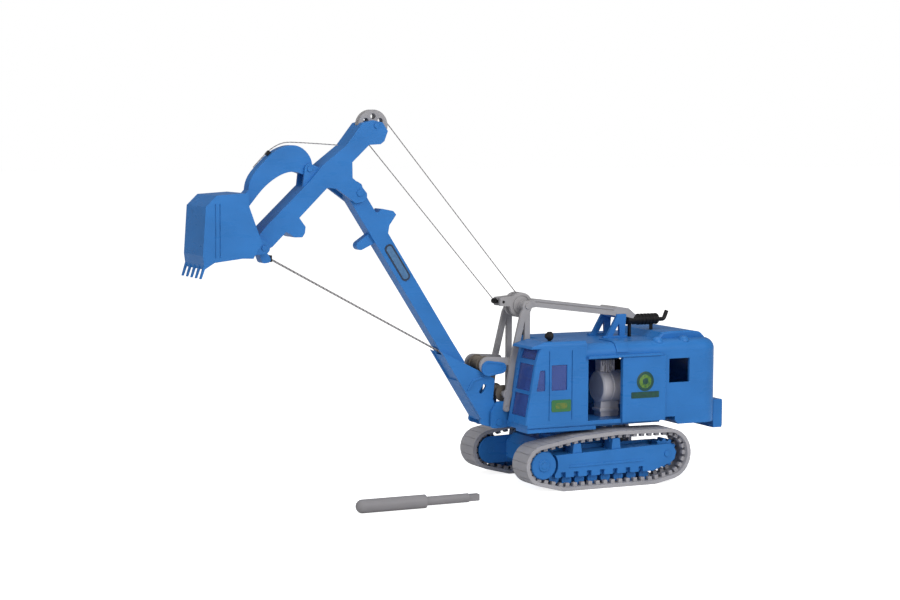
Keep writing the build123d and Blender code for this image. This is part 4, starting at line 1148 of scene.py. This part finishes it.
@dataclass
class Studio:
    """White sweep, soft lamps and the camera.

    Args:
        eye: place of the camera, in millimetres.
        aim: point that it looks at.
        lens: focal length for a 36 mm wide frame.
        roll: turn about its axis, in degrees.
        floor_glow: light that the floor adds for the camera alone.
        surround: strength of the even light from all round.
        lamp_aim: where the lamps point, in metres.
        lamps: the soft lamps.
    """

    eye: Point = (316.8, 555.4, 108.2)
    aim: Point = (43.1, 0.0, 56.2)
    lens: float = 83.43
    roll: float = 0.31
    floor_glow: float = 0.85
    surround: float = 0.2
    lamp_aim: Point = (0.04, 0.0, 0.05)
    lamps: tuple[SoftLamp, ...] = (
        SoftLamp("lamp_key", (-0.12, 0.78, 0.45), 0.6, 4.5),
        SoftLamp("lamp_top", (0.0, 0.0, 0.95), 0.9, 3.2),
        SoftLamp("lamp_front", (0.8, 0.3, 0.35), 0.5, 2.0),
    )

    def floor(self) -> None:
        """White floor that keeps the object's shadow."""
        bpy.ops.object.select_all(action="DESELECT")
        bpy.ops.mesh.primitive_plane_add(size=8.0, location=(0, 0, 0))
        ground = bpy.context.object
        ground.name = "studio_floor"
        bench = NodeBench("studio_white")
        clouds = bench.remap(bench.noise(40.0), *NOISE_SPAN, 0.0, 1.0)
        paper = bench.blend(clouds, (0.8, 0.8, 0.8), (0.82, 0.82, 0.82))
        matt = bench.add("ShaderNodeBsdfDiffuse", Color=paper)
        glow = bench.add("ShaderNodeEmission", Strength=self.floor_glow)
        seen = bench.add("ShaderNodeLightPath")
        lit = bench.add("ShaderNodeMixShader")
        dark = bench.add("ShaderNodeEmission", Strength=0.0)
        bench.join(seen.outputs["Is Camera Ray"], lit.inputs[0])
        bench.join(dark.outputs[0], lit.inputs[1])
        bench.join(glow.outputs[0], lit.inputs[2])
        both = bench.add("ShaderNodeAddShader")
        bench.join(matt.outputs[0], both.inputs[0])
        bench.join(lit.outputs[0], both.inputs[1])
        bench.join(both.outputs[0], bench.output.inputs["Surface"])
        ground.data.materials.append(bench.material)

    def sky(self) -> None:
        """White surround, plain for the camera and soft for the light."""
        world = bpy.data.worlds.new("studio_surround")
        bpy.context.scene.world = world
        world.use_nodes = True
        tree = world.node_tree
        tree.nodes.clear()
        out = tree.nodes.new("ShaderNodeOutputWorld")
        light = tree.nodes.new("ShaderNodeBackground")
        light.inputs["Color"].default_value = (1, 1, 1, 1)
        light.inputs["Strength"].default_value = self.surround
        white = tree.nodes.new("ShaderNodeBackground")
        white.inputs["Color"].default_value = (1, 1, 1, 1)
        white.inputs["Strength"].default_value = 1.0
        rays = tree.nodes.new("ShaderNodeLightPath")
        mix = tree.nodes.new("ShaderNodeMixShader")
        tree.links.new(rays.outputs["Is Camera Ray"], mix.inputs[0])
        tree.links.new(light.outputs[0], mix.inputs[1])
        tree.links.new(white.outputs[0], mix.inputs[2])
        tree.links.new(mix.outputs[0], out.inputs["Surface"])

    def hang(self, lamp: SoftLamp) -> None:
        """Hangs a lamp and points it at the machine.

        Args:
            lamp: the lamp.
        """
        data = bpy.data.lights.new(lamp.name, "AREA")
        data.shape = "SQUARE"
        data.size = lamp.size
        data.energy = lamp.power
        light = bpy.data.objects.new(lamp.name, data)
        bpy.context.scene.collection.objects.link(light)
        light.location = lamp.place
        aim = Vector(self.lamp_aim) - Vector(lamp.place)
        light.rotation_euler = aim.to_track_quat("-Z", "Y").to_euler()

    def camera(self) -> None:
        data = bpy.data.cameras.new("studio_camera")
        data.sensor_width = 36.0
        data.lens = self.lens
        data.clip_start = 0.01
        data.clip_end = 50.0
        camera = bpy.data.objects.new("studio_camera", data)
        bpy.context.scene.collection.objects.link(camera)
        eye, aim = Vector(self.eye) * MM, Vector(self.aim) * MM
        turn = (aim - eye).to_track_quat("-Z", "Y").to_matrix().to_4x4()
        roll = Matrix.Rotation(math.radians(self.roll), 4, "Z")
        camera.matrix_world = Matrix.Translation(eye) @ turn @ roll
        bpy.context.scene.camera = camera

    def build(self) -> None:
        """Sets up the whole studio."""
        self.floor()
        self.sky()
        for lamp in self.lamps:
            self.hang(lamp)
        self.camera()
        bpy.context.scene.view_settings.view_transform = "Standard"


def main() -> None:
    """Builds the studio, the cords and every sub-assembly in order."""
    logging.basicConfig(level=logging.INFO, format="%(name)s: %(message)s")
    palette, bench = Palette(), Bench()
    Studio().build()
    Rigging().build(palette)
    assemblies = (Undercarriage(), MachineHouse(), DriverCab(), MastAndGantry(), DiggingArm(),
                  WindingKey())
    for assembly in assemblies:
        assembly.build(palette, bench)
        log.info("finished %s", type(assembly).__name__)


if __name__ == "__main__":
    main()
